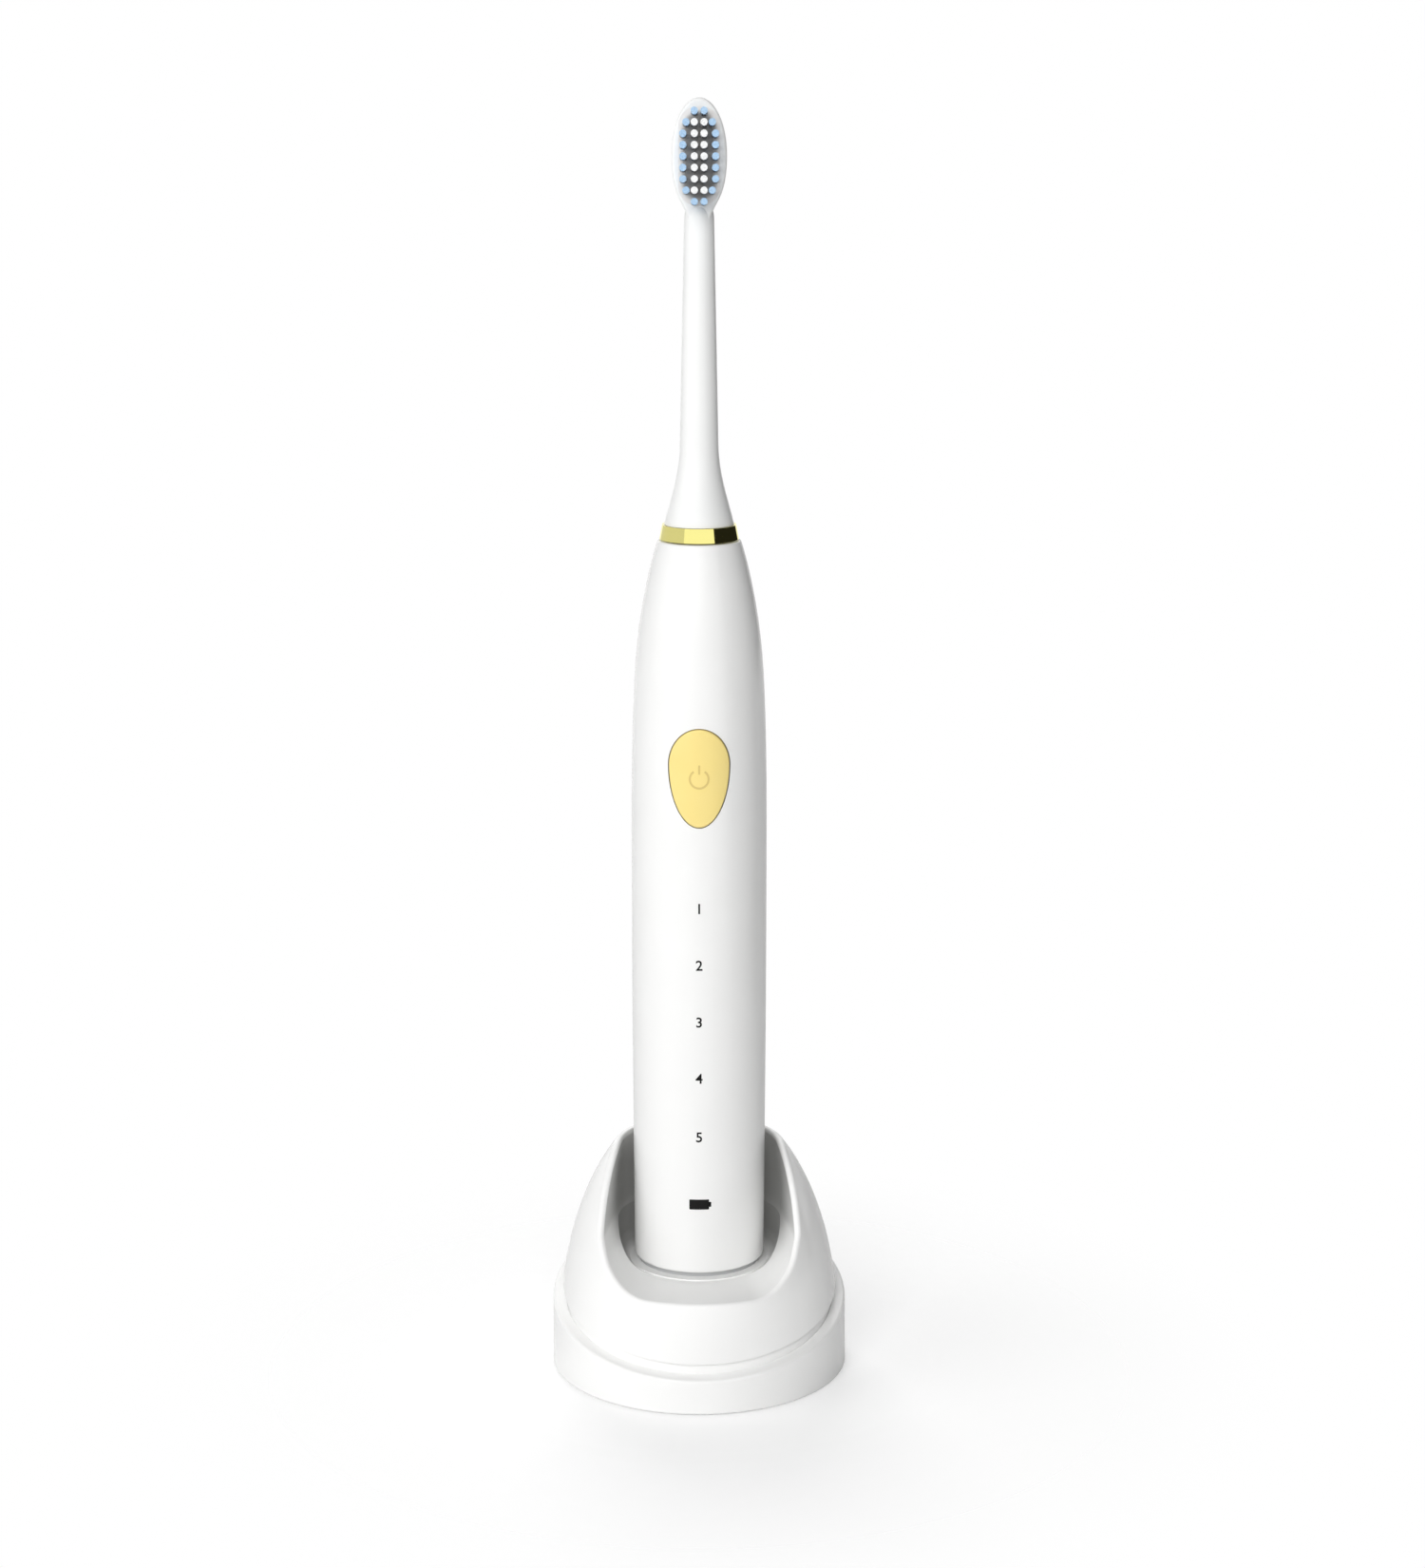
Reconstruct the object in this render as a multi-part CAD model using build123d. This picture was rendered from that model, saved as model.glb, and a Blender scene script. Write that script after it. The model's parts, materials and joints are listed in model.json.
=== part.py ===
from build123d import *
import os
from math import asin, cos, degrees, hypot, radians, sin, sqrt, tan

# Electric toothbrush standing in its induction charger. Millimetres, +Z up, the front looks along -Y.
# The origin is the middle of the charger's underside, on the surface that it stands on.

# Clearances
RUNNING_FIT = 0.06       # radial, between a shaft and what it turns or slides in
SEAT_GAP = 0.05          # between pieces that are assembled and stay put
MOVING_GAP = 0.3         # between pieces that move apart
OVERCUT = 3.0            # how far a cut runs past the face that it opens
OVAL_STEPS = 6           # stretches in a drawn oval

# Charger tub: a shallow cup whose rim is cut at a slant, low in front
BASE_SPREAD = 13.7       # how much wider the tub is than the hollow round the handle
TUB_DRAFT = 0.7          # degrees
TUB_FLOOR = 2.2
TUB_EDGE_ROUND = 0.6
RIM_HEIGHT = 15.6        # of the slanted rim, at the axis
RIM_SLANT = 14.2         # degrees
RIM_ROUND = 0.6

# Foot ring under the tub
FOOT_STAND = 0.35        # how far it stands out under the tub
FOOT_SINK = 0.8
FOOT_INSET = 3.8         # of its outside from the tub's
FOOT_WIDTH = 3.5

# Cradle: a dome that hugs the handle, open in front as a scoop
REVEAL = 2.6             # shadow gap between the rim and the dome
GROOVE_DEPTH = 0.9       # of the shadow gap, under the dome's edge
DOME_INSET = 1.7         # of its widest place from the tub's outside
DOME_CENTRE = 8.0        # height where the dome is widest
DOME_RISE = 51.0         # of the full dome, above its centre
SKIRT_DEPTH = 4.0        # of the dome's skirt inside the tub
SKIRT_WALL = 1.7
FLOOR_HEIGHT = 23.25     # of the floor that the brush stands over
FLOOR_THICKNESS = 2.2
HOLLOW_ROOM = 3.6        # round the handle
HOLLOW_FLAT = 7.0        # half width of its flat floor
HOLLOW_CORNER = 12.0     # height of the rounded corner between floor and side
HOLLOW_RISE = 22.0       # height of the curve that its side follows above the corner
HOLLOW_DRAW = 6.0        # how much that curve draws in over its height
OPENING_SPREAD = 8.5     # degrees, of each side of the front opening
POCKET_ROOM = 3.2        # of the pocket for the handle's foot
POCKET_CORNER = 3.0      # rounding of its floor's edge
LIP_ROUND = 0.8
SEAT_STEP = 0.25         # raised seat under the handle
SEAT_MARGIN = 0.8        # of the seat round the handle

# Charging post, coil and board in the charger
POST_RADIUS = 4.0
POST_HEIGHT = 11.0       # above the seat
POST_WALL = 1.3
POST_ROUND = 1.6
CORE_RADIUS = 2.6
BOBBIN_RADIUS = 10.0
BOBBIN_FLANGE = 1.0
BOBBIN_HUB = 1.2
COIL_DEPTH = 5.2         # radial depth of the winding
CHARGER_BOARD_RADIUS = 15.8
CHARGER_BOARD_THICKNESS = 1.6
CHARGER_BOARD_STAND = 3.0
STANDOFFS = 3
STANDOFF_RADIUS = 1.6
STANDOFF_CIRCLE = 12.0
CAPACITOR_RADIUS = 2.0
CAPACITOR_HEIGHT = 5.5
CAPACITOR_ANGLES = (20, 50, 160)
CHIP_SIZE = 3.6
CHIP_HEIGHT = 1.3
CHIP_ANGLES = (-40, -140)

# Screws that hold the tub to the cradle
BASE_SCREWS = 3
SCREW_CLEAR = 2.9        # of the screws' circle outside the hollow
SCREW_RADIUS = 1.25
SCREW_LENGTH = 9.0
SCREW_HEAD_RADIUS = 2.3
SCREW_HEAD_HEIGHT = 1.5
SCREW_BOSS_RADIUS = 3.4
SCREW_PILLAR_HEIGHT = 3.0

# Cord gland in the back of the tub
GLAND_HEIGHT = 8.5
GLAND_RADIUS = 2.8
GLAND_BORE = 1.8
GLAND_FLANGE = 1.2
GLAND_FLANGE_WIDTH = 1.6

# Handle
HANDLE_LENGTH = 153.6    # from the seat to the top of the neck
HANDLE_RADIUS = 14.0     # at the waist
HANDLE_WALL = 1.8
HANDLE_FOOT_INSET = 0.3  # how much slimmer the handle is at its foot
WAIST_HEIGHT = 55.0      # above the seat
NECK_RIM_INSET = 5.5     # how much slimmer the handle is at its top
SHOULDER_POWER = 5.9     # of the curve from the waist to the top
SHOULDER_STEPS = 6
NECK_RIM_ROUND = 0.5
NECK_WALL = 5.0          # solid top that holds the shaft seal
HANDLE_EDGE_ROUND = 0.7

# End cap
CAP_BAND = 0.9           # visible height under the housing
CAP_BAND_INSET = 0.9     # how much slimmer the band is than the foot
CAP_PLUG = 6.0           # depth inside the housing
WELL_WALL = 1.2
WELL_GAP = 0.4           # between the charging post and the well
SEAL_SECTION = 1.2
SEAL_HEIGHT = 2.6        # of its groove, above the band
RECEIVER_DEPTH = 2.6     # radial depth of the winding
RECEIVER_HEIGHT = 8.5

# Board, lights and frame in the handle
BOARD_DEEP = 5.2         # of the board's front behind the handle's front
BOARD_THICKNESS = 1.0
BOARD_WIDTH = 12.8
BOARD_TAIL = 1.5         # how far the board runs past the frame's foot
BOARD_NOSE = 3.5         # how far it runs past the frame's top
MODE_LIGHTS = 5
LIGHT_DROP = 29.9        # of the highest mode light below the button's widest place
BATTERY_LIGHT = 16.2     # height above the seat
BATTERY_LIGHT_STEP = 1.2 # its distance below the lowest mode light, in light spacings
LIGHT_SIZE = 1.6
LIGHT_DEPTH = 0.8
GUIDE_WIDTH = 3.6
GUIDE_HOLE = 1.2
GUIDE_MARGIN = 2.0
FRAME_SOLE = 6.0         # of the frame below the cell
FRAME_DROP = 20.5        # of the frame's top below the motor's top
FRAME_WINDOWS = 5
FRAME_RIB = 0.8          # between two windows
FRAME_BRIDGE = 4.0       # height of the bridge that carries the board's top
BOARD_SCREW_RADIUS = 0.7
BOARD_SCREW_HEAD = 1.4
BOARD_SCREW_DEPTH = 4.0
BOARD_SCREW_OFFSET = 4.4
PROCESSOR_SIZE = 4.2
PROCESSOR_HEIGHT = 0.9
PROCESSOR_DROP = 17.1    # of its foot below the switch
CHARGER_CHIP_UP = 21.0   # above the board's foot
CELL_BOTTOM = 22.5       # above the seat
BULKHEAD = 13.0          # between the cell and the motor
CELL_OFFSET = 1.0        # behind the axis
CELL_POLE_RADIUS = 2.8
CELL_POLE_HEIGHT = 0.8
TAB_THICKNESS = 0.3
TAB_WIDTH = 4.0

# Motor and shaft
MOTOR_DROP = 21.1        # of its top below the handle's top
MOTOR_LENGTH = 48.0
MOTOR_CLEAR = 0.8        # between the motor and the board
MOTOR_WALL = 0.6
MOTOR_PLATE = 2.2
BEARING_WALL = 1.5
BEARING_LENGTH = 3.0
STATOR_DEPTH = 1.5
AIR_GAP = 0.4
ROTOR_LENGTH = 24.0
ROTOR_BOTTOM = 8.0       # above the motor's bottom
DAMPER_LENGTH = 5.0
DAMPER_DROP = 1.0        # below the motor's top
SHAFT_RADIUS = 1.9
SHAFT_REACH = 23.0       # above the handle
SHAFT_FLAT = 0.6         # depth of the flat
SHAFT_FLAT_LENGTH = 16.0
SHAFT_CHAMFER = 0.4
SEAL_RADIUS = 4.3
SEAL_LIP = 0.5

# Power button and its switch
BUTTON_DROP = 44.0       # of its widest place below the handle's top
BUTTON_WIDTH = 12.65
BUTTON_UP = 7.6          # from the widest place to the upper end
BUTTON_DOWN = 13.0       # from the widest place to the lower end
BUTTON_GAP = 0.2         # all round
BUTTON_PROUD = 0.25
BUTTON_THICKNESS = 1.5
BUTTON_ROUND = 0.35
BUTTON_TRAVEL = 0.4
STEM_RADIUS = 1.5
GASKET_MARGIN = 1.3
GASKET_THICKNESS = 0.7
SWITCH_DROP = 2.5        # below the button's widest place
SWITCH_SIZE = 5.0
SWITCH_DEPTH = 1.4
PLUNGER_RADIUS = 1.2
PLUNGER_PROUD = 0.6
PLUNGER_SUNK = 0.3

# Ring and brush head
RING_HEIGHT = 2.9
RING_RADIUS = 8.1        # at its bottom
RING_TOP_RADIUS = 7.55
RING_WALL = 1.6
RING_ROUND = 0.3
RING_TONGUE = 2.0        # height of the tongue inside the head's foot
RING_TONGUE_WALL = 0.8
FOOT_TOP_INSET = 0.45    # how much slimmer the head's foot is than the ring's top
FOOT_SLOPE = 0.24        # inward run of the foot's side per unit of height
FLARE_HEIGHT = 16.0      # of the head's flared foot
FLARE_RADIUS = 3.9       # of the neck where the flare ends
FLARE_WALL = 1.1
NECK_RADIUS = 3.0        # at the top
NECK_HEIGHT = 61.0       # from the foot to the plate
NECK_TIP = 4.0           # height of the neck's round end inside the plate
SLEEVE_WALL = 0.8
SLEEVE_LENGTH = 19.0
PLATE_WIDTH = 11.0
PLATE_DOWN = 12.5        # from the widest place to the neck
PLATE_UP = 11.1          # from the widest place to the tip
PLATE_BEND = 4.6         # height of the bend above the neck
PLATE_BEND_WIDTH = 8.5
PLATE_ROOT = 2.0         # how far its root runs down into the neck
PLATE_ROOT_WIDTH = 4.0
PLATE_FRONT = 2.4        # from the axis to the bristle face
PLATE_BACK = 2.2
PLATE_BACK_ROUND = 1.5
PLATE_FRONT_ROUND = 0.6

# Bristles, in tufts
TUFT_ROWS = 9
TUFT_PITCH = 2.18
TUFT_CENTRE_DROP = 0.25  # of the middle row below the plate's widest place
TUFT_INNER = 0.95        # columns, from the middle line
TUFT_OUTER = 3.2
TUFT_CORNER = 2.57
TUFT_RADIUS = 0.56       # to the centres of the outer strands
RING_STRANDS = 8         # in a tuft's outer ring
CORE_STRANDS = 4         # inside it
TUFT_CORE_RADIUS = 0.26
STRAND_SIDE = 0.19
BRISTLE_LENGTH = 8.6
PAD_THICKNESS = 0.9
PAD_MARGIN = 0.75        # of the pad round the tufts

# Heights and radii that follow from the sizes above, of the charger
HOLLOW_RADIUS = HANDLE_RADIUS + HOLLOW_ROOM
TUB_RADIUS = HOLLOW_RADIUS + BASE_SPREAD
DOME_RADIUS = TUB_RADIUS - DOME_INSET
DOME_TOP = DOME_CENTRE + DOME_RISE - OVERCUT
FOOT_RADIUS = TUB_RADIUS - FOOT_INSET
SCREW_CIRCLE = HOLLOW_RADIUS + SCREW_CLEAR
SEAT = FLOOR_HEIGHT + SEAT_STEP
UNDERSIDE = FLOOR_HEIGHT - FLOOR_THICKNESS
TUB_INSIDE = FOOT_STAND + TUB_FLOOR
PILLAR_TOP = TUB_INSIDE + SCREW_PILLAR_HEIGHT
CHARGER_BOARD_BOTTOM = TUB_INSIDE + CHARGER_BOARD_STAND
CHARGER_BOARD_TOP = CHARGER_BOARD_BOTTOM + CHARGER_BOARD_THICKNESS
SCREW_TOP = FOOT_STAND + SCREW_HEAD_HEIGHT + SCREW_LENGTH

# of the handle
HANDLE_TOP = SEAT + HANDLE_LENGTH
HOUSING_BOTTOM = SEAT + CAP_BAND
BORE_RADIUS = HANDLE_RADIUS - HANDLE_WALL
BOARD_FRONT = HANDLE_RADIUS - BOARD_DEEP
MOTOR_RADIUS = BOARD_FRONT - BOARD_THICKNESS - MOTOR_CLEAR
CELL_RADIUS = MOTOR_RADIUS
CAVITY_TOP = HANDLE_TOP - NECK_WALL
WELL_RADIUS = POST_RADIUS + WELL_GAP
WELL_TOP = SEAT + POST_HEIGHT + WELL_GAP
SEAL_GROOVE = HOUSING_BOTTOM + SEAL_HEIGHT
MOTOR_TOP = HANDLE_TOP - MOTOR_DROP
MOTOR_FOOT = MOTOR_TOP - MOTOR_LENGTH
ROTOR_FOOT = MOTOR_FOOT + ROTOR_BOTTOM
BEARING_RADIUS = SHAFT_RADIUS + RUNNING_FIT + BEARING_WALL
STATOR_RADIUS = MOTOR_RADIUS - MOTOR_WALL - SEAT_GAP
ROTOR_RADIUS = STATOR_RADIUS - STATOR_DEPTH - AIR_GAP
CELL_FOOT = SEAT + CELL_BOTTOM
CELL_TOP = MOTOR_FOOT - BULKHEAD
FRAME_FOOT = CELL_FOOT - FRAME_SOLE
FRAME_TOP = MOTOR_TOP - FRAME_DROP
BOARD_BACK = -BOARD_FRONT + BOARD_THICKNESS
BOARD_FOOT = FRAME_FOOT - BOARD_TAIL
BOARD_TOP = FRAME_TOP + BOARD_NOSE
BUTTON_MIDDLE = HANDLE_TOP - BUTTON_DROP
SWITCH_MIDDLE = BUTTON_MIDDLE - SWITCH_DROP
SWITCH_FRONT = -BOARD_FRONT - SWITCH_DEPTH
PLUNGER_FRONT = SWITCH_FRONT - PLUNGER_PROUD
PLUNGER_ROOM = PLUNGER_SUNK + BUTTON_TRAVEL + SEAT_GAP

# of the brush head
RING_BOTTOM = HANDLE_TOP + MOVING_GAP
RING_TOP = RING_BOTTOM + RING_HEIGHT
HEAD_BOTTOM = RING_TOP + SEAT_GAP
FOOT_OUTER = RING_TOP_RADIUS - FOOT_TOP_INSET
PLATE_BOTTOM = HEAD_BOTTOM + NECK_HEIGHT
PLATE_WIDEST = PLATE_BOTTOM + PLATE_DOWN
SKY = PLATE_WIDEST + PLATE_UP
SLEEVE_RADIUS = SHAFT_RADIUS + RUNNING_FIT + SLEEVE_WALL


def cylinder(radius, bottom, top, x=0, y=0):
    disc = Plane((x, y, bottom)) * Circle(radius)
    return extrude(disc, top - bottom)


def ring(outer, inner, bottom, top, x=0, y=0):
    return cylinder(outer, bottom, top, x, y) - cylinder(inner, bottom, top, x, y)


def block(x_range, y_range, z_range):
    size = (x_range[1] - x_range[0], y_range[1] - y_range[0], z_range[1] - z_range[0])
    corner = Pos(x_range[0], y_range[0], z_range[0])
    return corner * Box(*size, align=(Align.MIN, Align.MIN, Align.MIN))


def turned(*edges):
    """Turn a closed half outline, drawn as radius and height, about the long axis."""
    return revolve(Plane.XZ * make_face(list(edges)), Axis.Z)


def oval_arc(centre, half_width, half_height, start, end):
    """A stretch of an oval, between two angles in degrees, as one smooth curve."""
    def point(angle):
        turn = radians(angle)
        return centre[0] + half_width * cos(turn), centre[1] + half_height * sin(turn)

    def heading(angle):
        turn = radians(angle)
        return -half_width * sin(turn), half_height * cos(turn)

    angles = [start + (end - start) * k / OVAL_STEPS for k in range(OVAL_STEPS + 1)]
    return Spline(*[point(a) for a in angles], tangents=[heading(start), heading(end)])


def spot(angle, circle):
    return circle * cos(radians(angle)), circle * sin(radians(angle))


def pin_along_y(radius, start, end, x, z):
    disc = Plane((x, start, z), x_dir=(1, 0, 0), z_dir=(0, 1, 0)) * Circle(radius)
    return extrude(disc, end - start)


def slant(height, angle):
    """A plane that rises to the back at the given angle and crosses the axis at the given height."""
    return Plane((0, 0, height), x_dir=(1, 0, 0), z_dir=(0, -sin(radians(angle)), cos(radians(angle))))


def below(solid, plane):
    return split(solid, bisect_by=plane, keep=Keep.BOTTOM)


def above(solid, plane):
    return split(solid, bisect_by=plane, keep=Keep.TOP)


# Charger

def tub_shape():
    top = RIM_HEIGHT + 2 * TUB_RADIUS * tan(radians(RIM_SLANT))
    head = TUB_RADIUS - (top - FOOT_STAND) * tan(radians(TUB_DRAFT))
    return turned(Polyline((0, FOOT_STAND), (TUB_RADIUS, FOOT_STAND), (head, top), (0, top), close=True))


def screw_spots():
    return [spot(-90 + 360 * k / BASE_SCREWS, SCREW_CIRCLE) for k in range(BASE_SCREWS)]


def standoff_spots():
    return [spot(90 + 360 * k / STANDOFFS, STANDOFF_CIRCLE) for k in range(STANDOFFS)]


def make_tub():
    tub = below(tub_shape(), slant(RIM_HEIGHT, RIM_SLANT))
    rim = [e for e in tub.edges() if e.center().Z > FOOT_STAND + TUB_FLOOR and e.geom_type != GeomType.LINE]
    tub = fillet(rim, RIM_ROUND)
    foot_edge = tub.edges().filter_by(GeomType.CIRCLE).sort_by(Axis.Z)[0]
    tub = fillet(foot_edge, TUB_EDGE_ROUND)
    tub -= dome_shape(GROOVE_DEPTH - SEAT_GAP, TUB_INSIDE, DOME_TOP)
    tub -= ring(FOOT_RADIUS, FOOT_RADIUS - FOOT_WIDTH, FOOT_STAND, FOOT_STAND + FOOT_SINK)
    for x, y in screw_spots():
        tub += cylinder(SCREW_BOSS_RADIUS, TUB_INSIDE, PILLAR_TOP, x, y)
        tub -= cylinder(SCREW_RADIUS + SEAT_GAP, FOOT_STAND, PILLAR_TOP, x, y)
        head_room = FOOT_STAND + SCREW_HEAD_HEIGHT + SEAT_GAP
        tub -= cylinder(SCREW_HEAD_RADIUS + SEAT_GAP, FOOT_STAND, head_room, x, y)
    for x, y in standoff_spots():
        tub += cylinder(STANDOFF_RADIUS, TUB_INSIDE, CHARGER_BOARD_BOTTOM, x, y)
    tub -= pin_along_y(GLAND_RADIUS + SEAT_GAP, SCREW_CIRCLE, TUB_RADIUS + OVERCUT, 0, GLAND_HEIGHT)
    return tub


def make_foot_ring():
    foot = ring(FOOT_RADIUS - SEAT_GAP, FOOT_RADIUS - FOOT_WIDTH + SEAT_GAP, 0, FOOT_STAND + FOOT_SINK)
    return chamfer(foot.faces().sort_by(Axis.Z)[0].edges(), FOOT_STAND / 2)


def dome_radius(height):
    return DOME_RADIUS * sqrt(max(0, 1 - ((height - DOME_CENTRE) / DOME_RISE) ** 2))


def dome_shape(inset, bottom, top):
    """The dome's outside, drawn in by an inset, between two heights. It is straight below its centre."""
    radius = DOME_RADIUS - inset
    sweep = degrees(asin((top - DOME_CENTRE) / DOME_RISE))
    curve = oval_arc((0, DOME_CENTRE), radius, DOME_RISE, 0, sweep)
    wall = Polyline((0, top), (0, bottom), (radius, bottom), (radius, DOME_CENTRE))
    return turned(wall, curve, Line(curve @ 1, (0, top)))


def hollow_outline():
    """Half of the hollow in upright section: flat floor, rounded corner and a side that draws in."""
    corner_top = FLOOR_HEIGHT + HOLLOW_CORNER
    lean = degrees(asin((DOME_TOP - corner_top) / HOLLOW_RISE))
    side = oval_arc((HOLLOW_RADIUS - HOLLOW_DRAW, corner_top), HOLLOW_DRAW, HOLLOW_RISE, 0, lean)
    return make_face([
        Line((0, FLOOR_HEIGHT), (HOLLOW_FLAT, FLOOR_HEIGHT)),
        oval_arc((HOLLOW_FLAT, corner_top), HOLLOW_RADIUS - HOLLOW_FLAT, HOLLOW_CORNER, -90, 0),
        side,
        *Polyline(side @ 1, (0, (side @ 1).Y), (0, FLOOR_HEIGHT)).edges(),
    ])


def hollow_shape():
    """The hollow that the handle stands in: round behind, and open in front between sides that spread."""
    spread = radians(OPENING_SPREAD)
    along = (sin(spread), -cos(spread), 0)
    section = Plane((0, 0, 0), x_dir=(cos(spread), sin(spread), 0), z_dir=along) * hollow_outline()
    reach = DOME_RADIUS + OVERCUT
    right = extrude(section, reach)
    behind = revolve(section, Axis.Z, 180 - 2 * OPENING_SPREAD)
    tip = (reach * along[0], reach * along[1])
    wedge = make_face(Polyline((0, 0), tip, (-tip[0], tip[1]), close=True))
    middle = extrude(Pos(0, 0, FLOOR_HEIGHT) * wedge, DOME_TOP - FLOOR_HEIGHT)
    pocket = cylinder(HANDLE_RADIUS + POCKET_ROOM, FLOOR_HEIGHT, FLOOR_HEIGHT + HOLLOW_CORNER)
    pocket = fillet(pocket.edges().sort_by(Axis.Z)[0], POCKET_CORNER)
    return behind + right + mirror(right, Plane.YZ) + middle + pocket


def is_lip(edge):
    """Whether an edge of the cradle lies on the dome, above the floor, and isn't the dome's own seam."""
    points = [edge @ t for t in (0.25, 0.5, 0.75)]
    on_dome = all(abs(hypot(p.X, p.Y) - dome_radius(p.Z)) < SEAT_GAP for p in points)
    above_floor = all(p.Z > FLOOR_HEIGHT - SEAT_GAP for p in points)
    is_seam = all(abs(p.Y) < SEAT_GAP for p in points)
    return on_dome and above_floor and not is_seam


def make_cradle():
    cradle = above(dome_shape(0, 0, DOME_TOP), slant(RIM_HEIGHT + REVEAL, RIM_SLANT)) - hollow_shape()
    cradle = fillet([e for e in cradle.edges() if is_lip(e)], LIP_ROUND)
    skirt = above(dome_shape(GROOVE_DEPTH, 0, FLOOR_HEIGHT), slant(RIM_HEIGHT - SKIRT_DEPTH, RIM_SLANT))
    cradle += below(skirt, slant(RIM_HEIGHT + REVEAL + SEAT_GAP, RIM_SLANT))
    cradle -= dome_shape(GROOVE_DEPTH + SKIRT_WALL, 0, UNDERSIDE)
    seat = cylinder(HANDLE_RADIUS + SEAT_MARGIN, UNDERSIDE, SEAT)
    post = cylinder(POST_RADIUS, UNDERSIDE, SEAT + POST_HEIGHT)
    cradle += seat + fillet(post.edges().sort_by(Axis.Z)[-1], POST_ROUND)
    cradle -= cylinder(POST_RADIUS - POST_WALL, UNDERSIDE, SEAT + POST_HEIGHT - POST_WALL)
    for x, y in screw_spots():
        cradle += cylinder(SCREW_BOSS_RADIUS, PILLAR_TOP, UNDERSIDE, x, y)
        cradle -= cylinder(SCREW_RADIUS, PILLAR_TOP, SCREW_TOP + SEAT_GAP, x, y)
    return cradle


def make_base_screws():
    screws = []
    for x, y in screw_spots():
        head = cylinder(SCREW_HEAD_RADIUS, FOOT_STAND, FOOT_STAND + SCREW_HEAD_HEIGHT, x, y)
        screws.append(head + cylinder(SCREW_RADIUS - RUNNING_FIT, FOOT_STAND, SCREW_TOP, x, y))
    return Compound(screws)


def make_cord_gland():
    inside = sqrt((DOME_RADIUS - GROOVE_DEPTH) ** 2 - (GLAND_RADIUS + GLAND_FLANGE_WIDTH) ** 2) - SEAT_GAP
    sleeve = pin_along_y(GLAND_RADIUS, inside - GLAND_FLANGE, TUB_RADIUS, 0, GLAND_HEIGHT)
    gland = sleeve & tub_shape()
    gland += pin_along_y(GLAND_RADIUS + GLAND_FLANGE_WIDTH, inside - GLAND_FLANGE, inside, 0, GLAND_HEIGHT)
    return gland - pin_along_y(GLAND_BORE, inside - GLAND_FLANGE, TUB_RADIUS, 0, GLAND_HEIGHT)


def make_ferrite_core():
    return cylinder(CORE_RADIUS, CHARGER_BOARD_TOP, SEAT + POST_HEIGHT - POST_WALL - SEAT_GAP)


def make_coil_bobbin():
    hub = CORE_RADIUS + SEAT_GAP
    top = UNDERSIDE - SEAT_GAP
    bobbin = cylinder(hub + BOBBIN_HUB, CHARGER_BOARD_TOP, top)
    bobbin += cylinder(BOBBIN_RADIUS, CHARGER_BOARD_TOP, CHARGER_BOARD_TOP + BOBBIN_FLANGE)
    bobbin += cylinder(BOBBIN_RADIUS, top - BOBBIN_FLANGE, top)
    return bobbin - cylinder(hub, CHARGER_BOARD_TOP, top)


def make_transmitter_coil():
    inner = CORE_RADIUS + BOBBIN_HUB + 2 * SEAT_GAP
    bottom = CHARGER_BOARD_TOP + BOBBIN_FLANGE + SEAT_GAP
    return ring(inner + COIL_DEPTH, inner, bottom, UNDERSIDE - BOBBIN_FLANGE - 2 * SEAT_GAP)


def make_charger_board():
    return cylinder(CHARGER_BOARD_RADIUS, CHARGER_BOARD_BOTTOM, CHARGER_BOARD_TOP)


def make_charger_components():
    middle = (BOBBIN_RADIUS + CHARGER_BOARD_RADIUS) / 2
    parts = []
    capacitor_top = CHARGER_BOARD_TOP + CAPACITOR_HEIGHT
    for angle in CAPACITOR_ANGLES:
        x, y = spot(angle, middle)
        parts.append(cylinder(CAPACITOR_RADIUS, CHARGER_BOARD_TOP, capacitor_top, x, y))
    for angle in CHIP_ANGLES:
        chip = Pos(middle, 0, CHARGER_BOARD_TOP) * Box(
            CHIP_SIZE, CHIP_SIZE, CHIP_HEIGHT, align=(Align.CENTER, Align.CENTER, Align.MIN)
        )
        parts.append(Rot(0, 0, angle) * chip)
    return Compound(parts)


# Handle

def handle_shape(inset, bottom, top):
    """The handle's outside, drawn in by an inset and cut off square at two heights."""
    waist = (HANDLE_RADIUS - inset, SEAT + WAIST_HEIGHT)
    foot = (HANDLE_RADIUS - HANDLE_FOOT_INSET - inset, SEAT)
    rim = (HANDLE_RADIUS - NECK_RIM_INSET - inset, HANDLE_TOP)
    rise = HANDLE_LENGTH - WAIST_HEIGHT
    shares = [k / SHOULDER_STEPS for k in range(SHOULDER_STEPS + 1)]
    shoulder = Spline(
        *[(waist[0] - NECK_RIM_INSET * t ** SHOULDER_POWER, waist[1] + rise * t) for t in shares],
        tangents=[(0, 1), (-NECK_RIM_INSET * SHOULDER_POWER / rise, 1)],
    )
    side = Line(waist, foot)
    whole = turned(Polyline(foot, (0, SEAT), (0, HANDLE_TOP), rim), shoulder, side)
    return above(below(whole, Plane((0, 0, top))), Plane((0, 0, bottom)))


def handle_cavity(gap):
    """The hollow of the housing, smaller by a gap: a straight bore below the waist."""
    bottom = HOUSING_BOTTOM - CAP_BAND / 2
    waist = SEAT + WAIST_HEIGHT
    bore = cylinder(BORE_RADIUS - gap, bottom, waist)
    return bore + handle_shape(HANDLE_WALL + gap, waist, CAVITY_TOP - gap)


def button_outline(grow):
    """The egg outline of the button, wide end up, as a prism through the front of the handle."""
    half = BUTTON_WIDTH / 2 + grow
    centre = (0, BUTTON_MIDDLE)
    upper = EllipticalCenterArc(centre, half, BUTTON_UP + grow, 0, arc_size=180)
    lower = EllipticalCenterArc(centre, half, BUTTON_DOWN + grow, 180, arc_size=180)
    egg = Plane.XZ * make_face([upper, lower])
    return extrude(egg, HANDLE_RADIUS + OVERCUT)


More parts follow.
